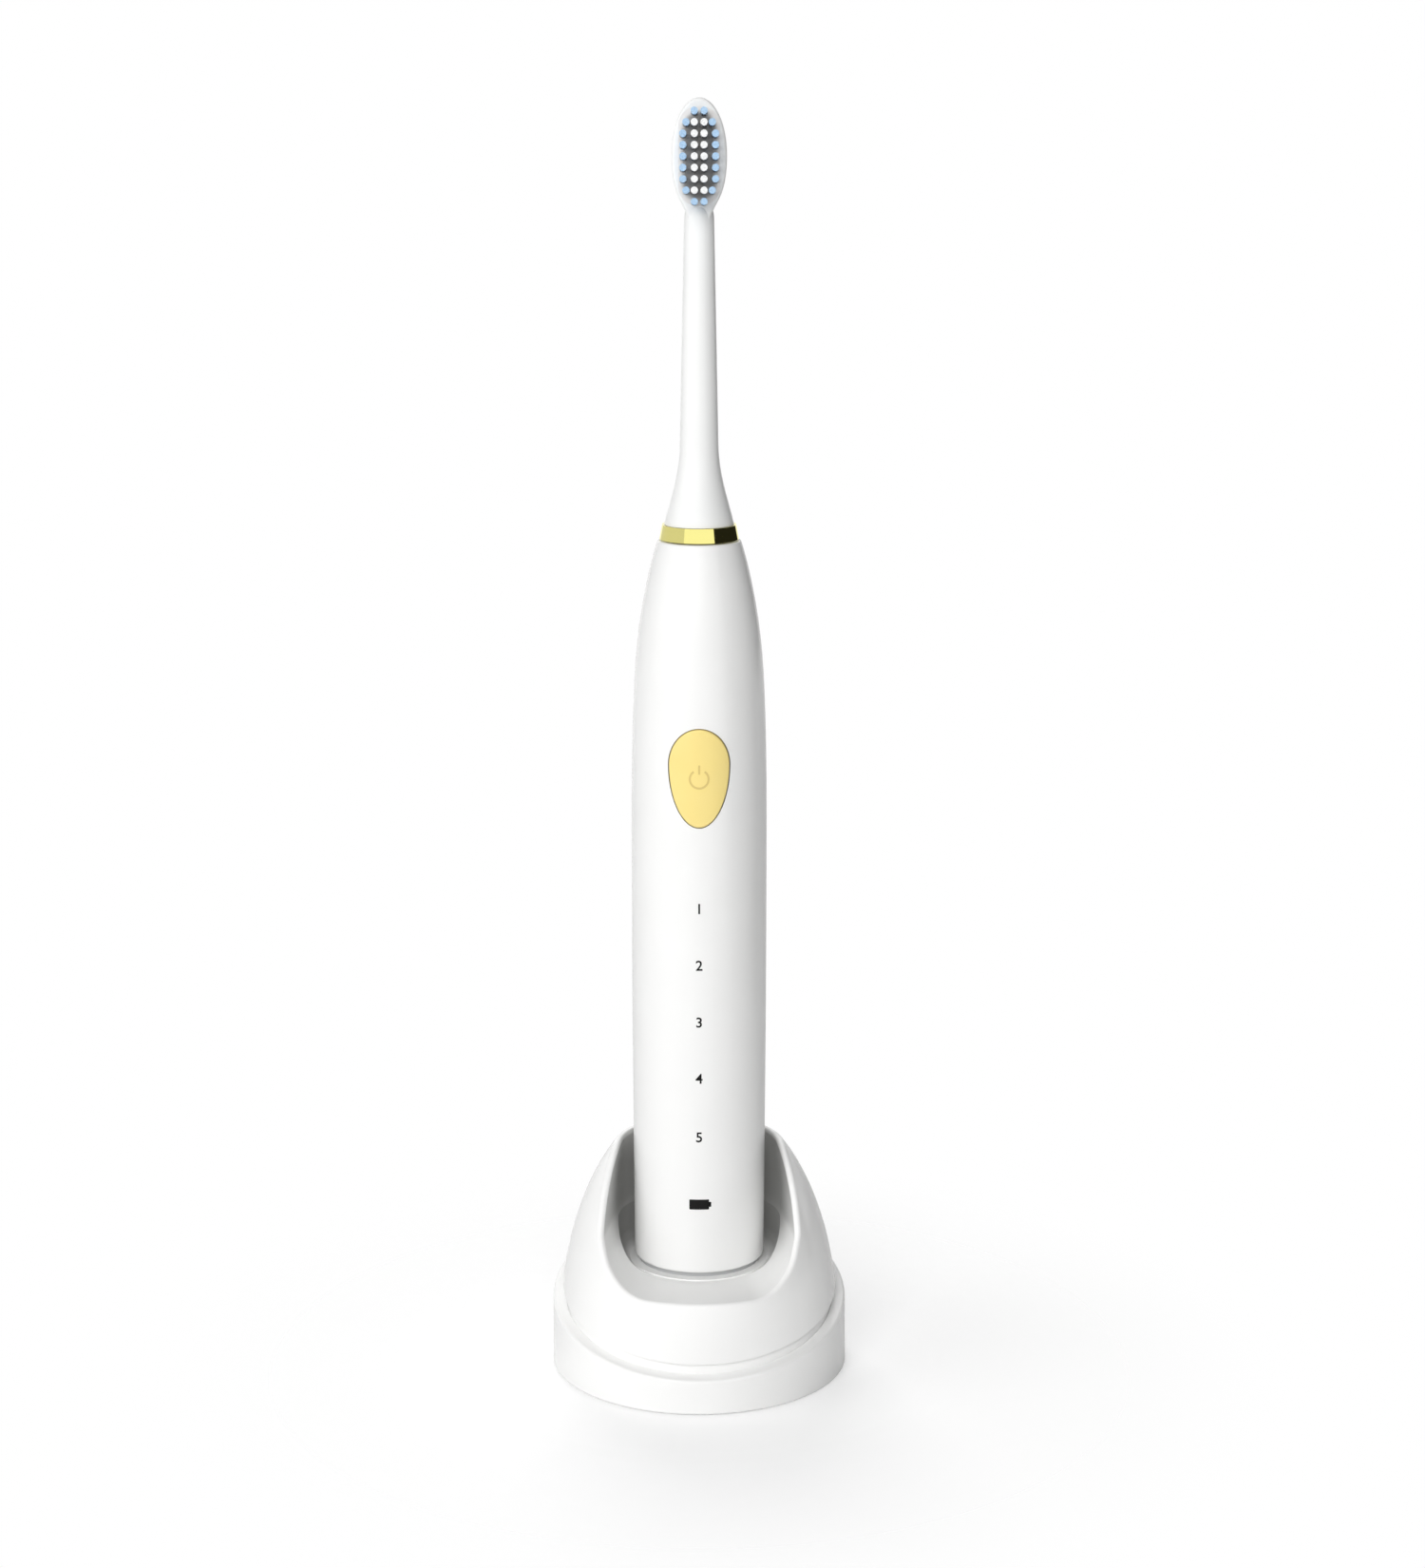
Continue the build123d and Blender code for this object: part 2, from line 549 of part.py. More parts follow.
def make_handle_housing():
    housing = handle_shape(0, HOUSING_BOTTOM, HANDLE_TOP)
    housing = fillet(housing.faces().sort_by(Axis.Z)[-1].edges(), NECK_RIM_ROUND)
    housing = fillet(housing.faces().sort_by(Axis.Z)[0].edges(), HANDLE_EDGE_ROUND)
    housing -= handle_cavity(0)
    housing -= cylinder(SEAL_RADIUS, CAVITY_TOP - OVERCUT, HANDLE_TOP)
    return housing - button_outline(0)


def make_end_cap():
    band = HANDLE_RADIUS - HANDLE_FOOT_INSET - CAP_BAND_INSET
    plug = BORE_RADIUS - SEAT_GAP
    cap = cylinder(band, SEAT, HOUSING_BOTTOM - SEAT_GAP)
    cap += cylinder(plug, SEAT, HOUSING_BOTTOM + CAP_PLUG)
    cap -= ring(plug, plug - SEAL_SECTION, SEAL_GROOVE, SEAL_GROOVE + SEAL_SECTION)
    inside = WELL_RADIUS + WELL_WALL + RECEIVER_DEPTH + 2 * SEAT_GAP
    cap -= cylinder(inside, HOUSING_BOTTOM + WELL_WALL, HOUSING_BOTTOM + CAP_PLUG)
    cap += cylinder(WELL_RADIUS + WELL_WALL, SEAT, WELL_TOP + WELL_WALL)
    return cap - cylinder(WELL_RADIUS, SEAT, WELL_TOP)


def make_cap_seal():
    plug = BORE_RADIUS - SEAT_GAP
    bottom = SEAL_GROOVE + SEAT_GAP
    seal = ring(plug, plug - SEAL_SECTION + SEAT_GAP, bottom, bottom + SEAL_SECTION - 2 * SEAT_GAP)
    return fillet(seal.faces().sort_by(SortBy.AREA)[-1].edges(), SEAL_SECTION / 4)


def make_receiver_coil():
    inner = WELL_RADIUS + WELL_WALL + SEAT_GAP
    bottom = HOUSING_BOTTOM + WELL_WALL + SEAT_GAP
    return ring(inner + RECEIVER_DEPTH, inner, bottom, bottom + RECEIVER_HEIGHT)


def make_battery_cell():
    cell = cylinder(CELL_RADIUS, CELL_FOOT, CELL_TOP - CELL_POLE_HEIGHT, 0, CELL_OFFSET)
    cell = fillet(cell.edges().filter_by(GeomType.CIRCLE), CELL_POLE_HEIGHT)
    return cell + cylinder(CELL_POLE_RADIUS, CELL_TOP - 2 * CELL_POLE_HEIGHT, CELL_TOP, 0, CELL_OFFSET)


def make_battery_tabs():
    half = TAB_WIDTH / 2
    tabs = []
    for bottom in (CELL_FOOT - TAB_THICKNESS, CELL_TOP):
        strip = block((-half, half), (BOARD_BACK, CELL_OFFSET), (bottom, bottom + TAB_THICKNESS))
        tabs.append(strip + cylinder(half, bottom, bottom + TAB_THICKNESS, 0, CELL_OFFSET))
    return Compound(tabs)


def trough(radius, offset, bottom, top):
    """Room for a round piece that is laid into the frame from the front."""
    round_room = cylinder(radius, bottom, top, 0, offset)
    return round_room + block((-radius, radius), (-HANDLE_RADIUS, offset), (bottom, top))


def board_screw_heights():
    return (CELL_TOP + MOTOR_FOOT) / 2, (FRAME_FOOT + CELL_FOOT - TAB_THICKNESS) / 2


def make_inner_frame():
    frame = cylinder(HANDLE_RADIUS, FRAME_FOOT, FRAME_TOP) & handle_cavity(SEAT_GAP)
    frame -= block((-HANDLE_RADIUS, HANDLE_RADIUS), (-HANDLE_RADIUS, BOARD_BACK), (FRAME_FOOT, FRAME_TOP))
    cell_room = TAB_THICKNESS + SEAT_GAP
    frame -= trough(CELL_RADIUS + SEAT_GAP, CELL_OFFSET, CELL_FOOT - cell_room, CELL_TOP + cell_room)
    frame -= trough(MOTOR_RADIUS + SEAT_GAP, 0, MOTOR_FOOT, FRAME_TOP - FRAME_BRIDGE)
    frame -= cylinder(MOTOR_RADIUS + SEAT_GAP, MOTOR_FOOT, FRAME_TOP)
    pitch = (CELL_TOP - CELL_FOOT) / FRAME_WINDOWS
    for k in range(FRAME_WINDOWS):
        window = (CELL_FOOT + k * pitch + FRAME_RIB / 2, CELL_FOOT + (k + 1) * pitch - FRAME_RIB / 2)
        frame -= block((-CELL_RADIUS / 2, CELL_RADIUS / 2), (CELL_OFFSET, HANDLE_RADIUS), window)
    for z in board_screw_heights():
        frame -= pin_along_y(
            BOARD_SCREW_RADIUS, BOARD_BACK, BOARD_BACK + BOARD_SCREW_DEPTH, BOARD_SCREW_OFFSET, z
        )
    return frame


def make_board_screws():
    front = -BOARD_FRONT - BOARD_SCREW_RADIUS
    end = BOARD_BACK + BOARD_SCREW_DEPTH - SEAT_GAP
    screws = []
    for z in board_screw_heights():
        shank = pin_along_y(BOARD_SCREW_RADIUS - RUNNING_FIT, front, end, BOARD_SCREW_OFFSET, z)
        screws.append(shank + pin_along_y(BOARD_SCREW_HEAD, front, -BOARD_FRONT, BOARD_SCREW_OFFSET, z))
    return Compound(screws)


def make_circuit_board():
    half = BOARD_WIDTH / 2
    board = block((-half, half), (-BOARD_FRONT, BOARD_BACK), (BOARD_FOOT, BOARD_TOP))
    for z in board_screw_heights():
        board -= pin_along_y(BOARD_SCREW_RADIUS, -BOARD_FRONT, BOARD_BACK, BOARD_SCREW_OFFSET, z)
    return board


def make_board_components():
    """A processor and a charging chip on the front of the board, beside the lights."""
    left = -BOARD_WIDTH / 2
    front = (-BOARD_FRONT - PROCESSOR_HEIGHT, -BOARD_FRONT)
    parts = []
    processor_foot = SWITCH_MIDDLE - PROCESSOR_DROP
    for foot, size in ((processor_foot, PROCESSOR_SIZE), (BOARD_FOOT + CHARGER_CHIP_UP, CHIP_SIZE)):
        parts.append(block((left, left + size), front, (foot, foot + size)))
    return Compound(parts)


def light_heights():
    """From the battery light at the bottom to the highest mode light."""
    lowest = SEAT + BATTERY_LIGHT
    highest = BUTTON_MIDDLE - LIGHT_DROP
    pitch = (highest - lowest) / (MODE_LIGHTS - 1 + BATTERY_LIGHT_STEP)
    return [lowest] + [highest - pitch * k for k in reversed(range(MODE_LIGHTS))]


def make_mode_lights():
    half = LIGHT_SIZE / 2
    front = (-BOARD_FRONT - LIGHT_DEPTH, -BOARD_FRONT)
    return Compound([block((-half, half), front, (z - half, z + half)) for z in light_heights()])


def make_light_guide():
    half = GUIDE_WIDTH / 2
    heights = light_heights()
    bottom = heights[0] - GUIDE_MARGIN
    top = heights[-1] + GUIDE_MARGIN
    back = -BOARD_FRONT - LIGHT_DEPTH - SEAT_GAP
    guide = block((-half, half), (-HANDLE_RADIUS, back), (bottom, top)) & handle_cavity(SEAT_GAP)
    for z in heights:
        guide -= pin_along_y(GUIDE_HOLE, -HANDLE_RADIUS, back, 0, z)
    return guide


# Motor and shaft

def make_motor_can():
    can = cylinder(MOTOR_RADIUS, MOTOR_FOOT, MOTOR_TOP)
    can -= cylinder(MOTOR_RADIUS - MOTOR_WALL, MOTOR_FOOT + BEARING_LENGTH, MOTOR_TOP)
    return can - cylinder(BEARING_RADIUS + SEAT_GAP, MOTOR_FOOT + MOTOR_WALL, MOTOR_TOP)


def make_motor_end_plate():
    bottom = MOTOR_TOP - MOTOR_PLATE
    return ring(MOTOR_RADIUS - MOTOR_WALL - SEAT_GAP, BEARING_RADIUS + SEAT_GAP, bottom, MOTOR_TOP)


def make_bearing(bottom):
    return ring(BEARING_RADIUS, SHAFT_RADIUS + RUNNING_FIT, bottom, bottom + BEARING_LENGTH)


def make_stator_winding():
    return ring(STATOR_RADIUS, STATOR_RADIUS - STATOR_DEPTH, ROTOR_FOOT, ROTOR_FOOT + ROTOR_LENGTH)


def make_rotor_magnet():
    return ring(ROTOR_RADIUS, SHAFT_RADIUS + SEAT_GAP, ROTOR_FOOT, ROTOR_FOOT + ROTOR_LENGTH)


def make_motor_damper():
    top = MOTOR_TOP - DAMPER_DROP
    room = handle_cavity(SEAT_GAP) - cylinder(MOTOR_RADIUS + SEAT_GAP, 0, HANDLE_TOP)
    return room & cylinder(HANDLE_RADIUS, top - DAMPER_LENGTH, top)


def shaft_flat(gap):
    """What is cut off the shaft's front to leave its driving flat."""
    depth = SHAFT_RADIUS - SHAFT_FLAT + gap
    bottom = HANDLE_TOP + SHAFT_REACH - SHAFT_FLAT_LENGTH
    return block((-HANDLE_RADIUS, HANDLE_RADIUS), (-HANDLE_RADIUS, -depth), (bottom, SKY))


def make_drive_shaft():
    bottom = MOTOR_FOOT + MOTOR_WALL + SEAT_GAP
    shaft = cylinder(SHAFT_RADIUS, bottom, HANDLE_TOP + SHAFT_REACH)
    shaft = chamfer(shaft.edges().sort_by(Axis.Z)[-1], SHAFT_CHAMFER)
    return shaft - shaft_flat(0)


def make_shaft_seal():
    seal = ring(SEAL_RADIUS - SEAT_GAP, SHAFT_RADIUS + RUNNING_FIT, CAVITY_TOP, HANDLE_TOP - SEAL_LIP)
    return seal + ring(SHAFT_RADIUS + BEARING_WALL, SHAFT_RADIUS + RUNNING_FIT, CAVITY_TOP, HANDLE_TOP)


# Power button

def make_power_button():
    bottom = HOUSING_BOTTOM
    cap = handle_shape(-BUTTON_PROUD, bottom, HANDLE_TOP) & button_outline(-BUTTON_GAP)
    face = cap.faces().sort_by(Axis.Y)[0]
    cap = fillet(face.edges(), BUTTON_ROUND)
    cap -= handle_shape(BUTTON_THICKNESS - BUTTON_PROUD, bottom, HANDLE_TOP)
    stem = pin_along_y(STEM_RADIUS, -HANDLE_RADIUS - OVERCUT, PLUNGER_FRONT - SEAT_GAP, 0, SWITCH_MIDDLE)
    return cap + (stem & handle_shape(BUTTON_THICKNESS / 2, bottom, HANDLE_TOP))


def make_button_gasket():
    gasket = handle_cavity(SEAT_GAP) - handle_cavity(SEAT_GAP + GASKET_THICKNESS)
    gasket &= button_outline(GASKET_MARGIN)
    return gasket - pin_along_y(STEM_RADIUS + MOVING_GAP, -HANDLE_RADIUS, 0, 0, SWITCH_MIDDLE)


def make_push_switch():
    half = SWITCH_SIZE / 2
    body = block((-half, half), (SWITCH_FRONT, -BOARD_FRONT), (SWITCH_MIDDLE - half, SWITCH_MIDDLE + half))
    return body - pin_along_y(
        PLUNGER_RADIUS + RUNNING_FIT, SWITCH_FRONT, SWITCH_FRONT + PLUNGER_ROOM, 0, SWITCH_MIDDLE
    )


def make_switch_plunger():
    return pin_along_y(PLUNGER_RADIUS, PLUNGER_FRONT, SWITCH_FRONT + PLUNGER_SUNK, 0, SWITCH_MIDDLE)


# Brush head

def make_neck_ring():
    inner = RING_RADIUS - RING_WALL - RING_TONGUE_WALL
    band = turned(Polyline(
        (inner, RING_BOTTOM),
        (RING_RADIUS, RING_BOTTOM),
        (RING_TOP_RADIUS, RING_TOP),
        (inner, RING_TOP),
        close=True,
    ))
    tongue = flare_shape(FLARE_WALL + SEAT_GAP, HEAD_BOTTOM, HEAD_BOTTOM + RING_TONGUE)
    tongue -= flare_shape(FLARE_WALL + RING_TONGUE_WALL, HEAD_BOTTOM, HEAD_BOTTOM + RING_TONGUE)
    root = FOOT_OUTER - FLARE_WALL - SEAT_GAP
    return band + tongue + ring(root, root - RING_TONGUE_WALL, RING_BOTTOM + RING_ROUND, HEAD_BOTTOM)


def flare_shape(inset, bottom, top):
    """The neck of the brush head: a bell foot, a slim tapered stem and a round end inside the plate."""
    foot = (FOOT_OUTER - inset, HEAD_BOTTOM)
    waist = (FLARE_RADIUS - inset, HEAD_BOTTOM + FLARE_HEIGHT)
    root = (NECK_RADIUS - inset, PLATE_BOTTOM)
    tip = (0, PLATE_BOTTOM + NECK_TIP - inset)
    taper = (NECK_RADIUS - FLARE_RADIUS) / (NECK_HEIGHT - FLARE_HEIGHT)
    bell = Spline(foot, waist, tangents=[(-FOOT_SLOPE, 1), (taper, 1)])
    end = oval_arc((0, PLATE_BOTTOM), root[0], NECK_TIP - inset, 0, 90)
    whole = turned(Polyline(tip, (0, HEAD_BOTTOM), foot), bell, Line(waist, root), end)
    return above(below(whole, Plane((0, 0, top))), Plane((0, 0, bottom)))


def plate_outline():
    """The brush plate seen from the front: a rounded tip that runs down into the neck in a soft S."""
    half = PLATE_WIDTH / 2
    bend = (PLATE_BEND_WIDTH / 2, PLATE_BOTTOM + PLATE_BEND)
    root = (PLATE_ROOT_WIDTH / 2, PLATE_BOTTOM - PLATE_ROOT)
    tip = EllipticalCenterArc((0, PLATE_WIDEST), half, PLATE_UP, 0, arc_size=180)
    side = Spline((half, PLATE_WIDEST), bend, root, tangents=[(0, -1), (0, -1)])
    other = mirror(side, Plane.YZ)
    return make_face([tip, side, Line(root, (-root[0], root[1]))] + other.edges())


def make_head_body():
    outline = Plane.XZ * plate_outline()
    plate = Pos(0, PLATE_BACK, 0) * extrude(outline, PLATE_FRONT + PLATE_BACK)
    plate = fillet(plate.faces().sort_by(Axis.Y)[-1].edges(), PLATE_BACK_ROUND)
    plate = fillet(plate.faces().sort_by(Axis.Y)[0].edges(), PLATE_FRONT_ROUND)
    head = plate + flare_shape(0, HEAD_BOTTOM, SKY)
    head -= flare_shape(FLARE_WALL, HEAD_BOTTOM, HEAD_BOTTOM + FLARE_HEIGHT)
    head -= cylinder(SLEEVE_RADIUS + SEAT_GAP, HEAD_BOTTOM, HANDLE_TOP + SHAFT_REACH + MOVING_GAP)
    return head - outer_pad()


def make_shaft_sleeve():
    bottom = HANDLE_TOP + SHAFT_REACH - SLEEVE_LENGTH
    hole = cylinder(SHAFT_RADIUS + RUNNING_FIT, bottom, SKY) - shaft_flat(RUNNING_FIT)
    return cylinder(SLEEVE_RADIUS, bottom, HANDLE_TOP + SHAFT_REACH) - hole


# Bristles

def tuft_rows():
    """Each row's height and its blue and white columns."""
    middle = PLATE_WIDEST - TUFT_CENTRE_DROP
    last = TUFT_ROWS - 1
    for row in range(TUFT_ROWS):
        height = middle + (row - last / 2) * TUFT_PITCH
        from_end = min(row, last - row)
        if from_end == 0:
            yield height, [TUFT_INNER], []
        elif from_end == 1:
            yield height, [TUFT_CORNER], [TUFT_INNER]
        else:
            yield height, [TUFT_OUTER], [TUFT_INNER]


def pad_shape(half, low, high):
    box = Pos(0, (low + high) / 2) * RectangleRounded(2 * half, high - low, half - PAD_MARGIN / 2)
    return extrude(Plane.XZ * box, PLATE_FRONT) - extrude(Plane.XZ * box, PLATE_FRONT - PAD_THICKNESS)


def pad_range(rows):
    heights = [height for height, blue, white in tuft_rows()]
    return heights[rows] - TUFT_RADIUS - PAD_MARGIN / 2, heights[-1 - rows] + TUFT_RADIUS + PAD_MARGIN / 2


def inner_pad():
    return pad_shape(TUFT_INNER + TUFT_RADIUS + PAD_MARGIN / 2, *pad_range(1))


def outer_pad():
    return pad_shape(TUFT_OUTER + TUFT_RADIUS + PAD_MARGIN / 2, *pad_range(0))


def strands(column_kind):
    """Four-sided strands, in round tufts, that reach out from the pad."""
    start = PLATE_FRONT - PAD_THICKNESS / 2
    spots = []
    for height, blue, white in tuft_rows():
        for column in (blue, white)[column_kind]:
            for side in (-1, 1):
                for ring_radius, count in ((TUFT_RADIUS, RING_STRANDS), (TUFT_CORE_RADIUS, CORE_STRANDS)):
                    for k in range(count):
                        x, z = spot(360 * (k + 0.5) / count, ring_radius)
                        spots.append((side * column + x, height + z))
    reach = PLATE_FRONT + BRISTLE_LENGTH - start
    strand = extrude(Plane.XZ * Rectangle(STRAND_SIDE, STRAND_SIDE), reach)
    return [Pos(x, -start, z) * strand for x, z in spots]


def make_bristles_blue():
    pad = outer_pad() - inner_pad()
    return pad.fuse(*strands(0))


def make_bristles_white():
    return inner_pad().fuse(*strands(1))


PIECES = {
    "base_tub": make_tub,
    "foot_ring": make_foot_ring,
    "base_screws": make_base_screws,
    "cord_gland": make_cord_gland,
    "cradle": make_cradle,
    "ferrite_core": make_ferrite_core,
    "coil_bobbin": make_coil_bobbin,
    "transmitter_coil": make_transmitter_coil,
    "charger_board": make_charger_board,
    "charger_components": make_charger_components,
    "handle_housing": make_handle_housing,
    "end_cap": make_end_cap,
    "cap_seal": make_cap_seal,
    "receiver_coil": make_receiver_coil,
    "battery_cell": make_battery_cell,
    "battery_tabs": make_battery_tabs,
    "inner_frame": make_inner_frame,
    "circuit_board": make_circuit_board,
    "board_components": make_board_components,
    "board_screws": make_board_screws,
    "mode_lights": make_mode_lights,
    "light_guide": make_light_guide,
    "motor_can": make_motor_can,
    "motor_end_plate": make_motor_end_plate,
    "lower_bearing": lambda: make_bearing(MOTOR_FOOT + MOTOR_WALL),
    "upper_bearing": lambda: make_bearing(MOTOR_TOP - BEARING_LENGTH),
    "stator_winding": make_stator_winding,
    "motor_damper": make_motor_damper,
    "rotor_magnet": make_rotor_magnet,
    "drive_shaft": make_drive_shaft,
    "shaft_seal": make_shaft_seal,
    "power_button": make_power_button,
    "button_gasket": make_button_gasket,
    "push_switch": make_push_switch,
    "switch_plunger": make_switch_plunger,
    "neck_ring": make_neck_ring,
    "head_body": make_head_body,
    "shaft_sleeve": make_shaft_sleeve,
    "bristles_blue": make_bristles_blue,
    "bristles_white": make_bristles_white,
}

os.makedirs("parts", exist_ok=True)
for node, make_piece in PIECES.items():
    export_step(make_piece(), f"parts/{node}.step")
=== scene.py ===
import json
from math import cos, pi, radians, sin

import bmesh
import bpy
from mathutils import Matrix, Vector
from mathutils.bvhtree import BVHTree


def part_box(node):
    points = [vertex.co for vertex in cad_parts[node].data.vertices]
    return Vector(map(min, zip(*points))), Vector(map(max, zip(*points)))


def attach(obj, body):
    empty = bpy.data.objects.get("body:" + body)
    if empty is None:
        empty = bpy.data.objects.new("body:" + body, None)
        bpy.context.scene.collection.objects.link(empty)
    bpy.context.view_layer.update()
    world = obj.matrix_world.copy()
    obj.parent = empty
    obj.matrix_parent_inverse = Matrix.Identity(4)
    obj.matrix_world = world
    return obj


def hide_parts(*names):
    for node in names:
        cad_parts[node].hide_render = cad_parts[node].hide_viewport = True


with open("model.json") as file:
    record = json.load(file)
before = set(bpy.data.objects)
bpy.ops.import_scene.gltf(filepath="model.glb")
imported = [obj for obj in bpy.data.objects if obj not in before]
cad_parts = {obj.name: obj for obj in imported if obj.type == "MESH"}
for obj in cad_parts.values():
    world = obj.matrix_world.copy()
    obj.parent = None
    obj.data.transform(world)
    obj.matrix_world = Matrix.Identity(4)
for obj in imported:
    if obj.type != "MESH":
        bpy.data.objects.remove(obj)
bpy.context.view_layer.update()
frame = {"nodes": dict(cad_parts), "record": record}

# Electric toothbrush standing in its induction charger. Metres, +Z up, the front looks along -Y.

MM = 0.001
EPSILON = 1e-7           # nearer than this is the same place
IN_FRONT = -1.0          # a place along Y well in front of the object

# Whites, as two close tones each
SHELL_WHITE = ("#EFEFEE", "#F3F3F2")
HEAD_WHITE = ("#EEEFEE", "#F3F3F2")
CHARGER_WHITE = ("#F5F5F4", "#F8F8F7")

# Sizes of the surfaces' patterns
FLOW_CLOUD = 14 * MM     # slow drift that the flowing plastic leaves
GLOSS_DRIFT = 0.03
CHARGER_SKIN = dict(roughness=0.16, grain=1.2 * MM, depth=0.003 * MM)
WAVE_LENGTH = 2 * pi / 20    # of a wave texture at scale 1
LINE_DULLNESS = 1.4      # roughness on the turning lines' crests, against that between them
SPECK_DRIFT = 0.05
BOARD_TRACK = 4 * MM     # from track to track
BOARD_WEAVE = 0.5 * MM
TRACK_HEIGHT = 0.03 * MM
COAT_CLOUD = 6 * MM
COAT_GRAIN = 0.35 * MM
COAT_DEPTH = 0.003 * MM
INK_GRAIN = 0.3 * MM
INK_DEPTH = 0.001 * MM

# Painted shade on the cradle's inside: a grey that stands in for the shade in its hollow
INSIDE_SHADE_GREY = "#B8B8B6"
INSIDE_SHADE_FRONT = -13 * MM  # where along Y the painted shade starts
INSIDE_SHADE_BACK = 7 * MM     # where it is full
INSIDE_SHADE_FACING = (-0.2, -0.8)     # cosine between a wall's face and the way out: no painted shade, full painted shade

# Brush tufts
TUFT_ROWS = 9
TUFT_PITCH = 2.18 * MM
TUFT_INNER = 0.95 * MM
TUFT_CORNER = 2.57 * MM
TUFT_OUTER = 3.2 * MM
TUFT_RADIUS = 0.54 * MM
TUFT_FAN = radians(0.5)
TUFT_LEAN = radians(3)
TUFT_DROP = 0.2 * MM
TUFT_RINGS = 4
TUFT_SEEDS = {"blue": 11, "white": 12}
FILAMENT_RADIUS = 0.1 * MM
FILAMENT_SIDES = 6
FILAMENT_RINGS = 6
FILAMENT_STRAY = radians(0.15)
FILAMENT_TRIM = 0.008    # largest share of its length that a filament is short
TIP_ROUNDNESS = 0.15     # height of a tip's dome, as a share of the filament's radius
TUFT_INPUTS = {
    "Tuft Radius": "NodeSocketFloat",
    "Rings": "NodeSocketInt",
    "Filament Radius": "NodeSocketFloat",
    "Length": "NodeSocketFloat",
    "Fan": "NodeSocketFloat",
    "Seed": "NodeSocketInt",
    "Nylon": "NodeSocketMaterial",
}
# What is left to chance, from lowest to highest
TUFT_CHANCE = {
    "stray x": (-FILAMENT_STRAY, FILAMENT_STRAY),
    "stray z": (-FILAMENT_STRAY, FILAMENT_STRAY),
    "trim": (0.0, FILAMENT_TRIM),
    "shade": (0.0, 1.0),
    "turn": (0.0, 2 * pi),
}
# What is worked out, each line from inputs, chance and lines above it. Filament 0 is in the middle,
# and ring k round it holds 6k filaments, of which the first is number 3k(k - 1) + 1.
TUFT_SUMS = {
    "twelvefold": ("MULTIPLY_ADD", "number", 12.0, -3.0),
    "root": ("SQRT", "twelvefold"),
    "raised": ("ADD", "root", 3.0),
    "rings out": ("DIVIDE", "raised", 6.0),
    "ring": ("FLOOR", "rings out"),
    "ring before": ("SUBTRACT", "ring", 1.0),
    "ring pair": ("MULTIPLY", "ring", "ring before"),
    "first": ("MULTIPLY_ADD", "ring pair", 3.0, 1.0),
    "along": ("SUBTRACT", "number", "first"),
    "places": ("MULTIPLY", "ring", 6.0),
    "share round": ("DIVIDE", "along", "places"),
    "angle": ("MULTIPLY", "share round", 2 * pi),
    "share out": ("DIVIDE", "ring", "Rings"),
    "out": ("MULTIPLY", "share out", "Tuft Radius"),
    "cosine": ("COSINE", "angle"),
    "sine": ("SINE", "angle"),
    "across": ("MULTIPLY", "out", "cosine"),
    "up": ("MULTIPLY", "out", "sine"),
    "fan": ("DIVIDE", "Fan", "Tuft Radius"),
    "lean back": ("MULTIPLY_ADD", "up", "fan", "stray x"),
    "lean x": ("MULTIPLY", "lean back", -1.0),
    "lean z": ("MULTIPLY_ADD", "across", "fan", "stray z"),
    "kept length": ("SUBTRACT", 1.0, "trim"),
    "draw out": ("MULTIPLY", "Length", -1.0),
    "next ring": ("ADD", "Rings", 1.0),
    "last pair": ("MULTIPLY", "Rings", "next ring"),
    "count": ("MULTIPLY_ADD", "last pair", 3.0, 1.0),
}

# The pad that the tufts stand in
pad_low, pad_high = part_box("bristles_blue")
PAD_MIDDLE = (pad_low.z + pad_high.z) / 2
PAD_THICKNESS = 0.9 * MM
PAD_CORNER = 3.76 * MM
PAD_CORNER_STEPS = 16
# Painted shade: the pad's warm grey stands in for the shadow between the tufts
PAD_SHADE_GREY = ("#989592", "#A09D9A")
PAD_EDGE = "#EAE7E4"
PAD_SHADE_LINE = 5.4 * MM      # half the middle line that the painted shade's fade is measured from
PAD_SHADE_FADE = (2.4 * MM, 3.8 * MM)  # how far from that line the painted shade starts to give way to the edge's tone, and is gone
PAD_SET = 0.8            # share of the pad's thickness that the tufts are set into
TUFT_HOLE = 0.70 * MM
TUFT_HOLE_STEPS = 20

# Printed marks on the handle's front
MODE_HEIGHTS = [103.2 * MM, 91.2 * MM, 79.1 * MM, 67.0 * MM, 54.3 * MM]
NUMERAL_SIZE = 3.0 * MM
NUMERAL_WEIGHT = 0.04 * MM
BATTERY_HEIGHT = 39.7 * MM
BATTERY_WIDTH = 4.1 * MM
BATTERY_TALL = 2.2 * MM
BATTERY_CORNER = 0.14 * MM
BATTERY_NUB = 0.45 * MM
BATTERY_NUB_TALL = 1.1 * MM
POWER_DROP = 10.1 * MM
POWER_RADIUS = 1.9 * MM
POWER_STROKE = 0.42 * MM
POWER_GAP = radians(36)
POWER_STEPS = 40
POWER_BAR_CORNER = POWER_STROKE / 3
INK_THICKNESS = 0.03 * MM
INK_LIFT = 0.01 * MM
INK_FACET = 0.4 * MM

# Camera, as the photograph was taken
CAMERA_PLACE = (0, -0.650, 0.271)
CAMERA_TILT = radians(12.55)
CAMERA_LENS = 74.07
CAMERA_SHIFT = 0.0085

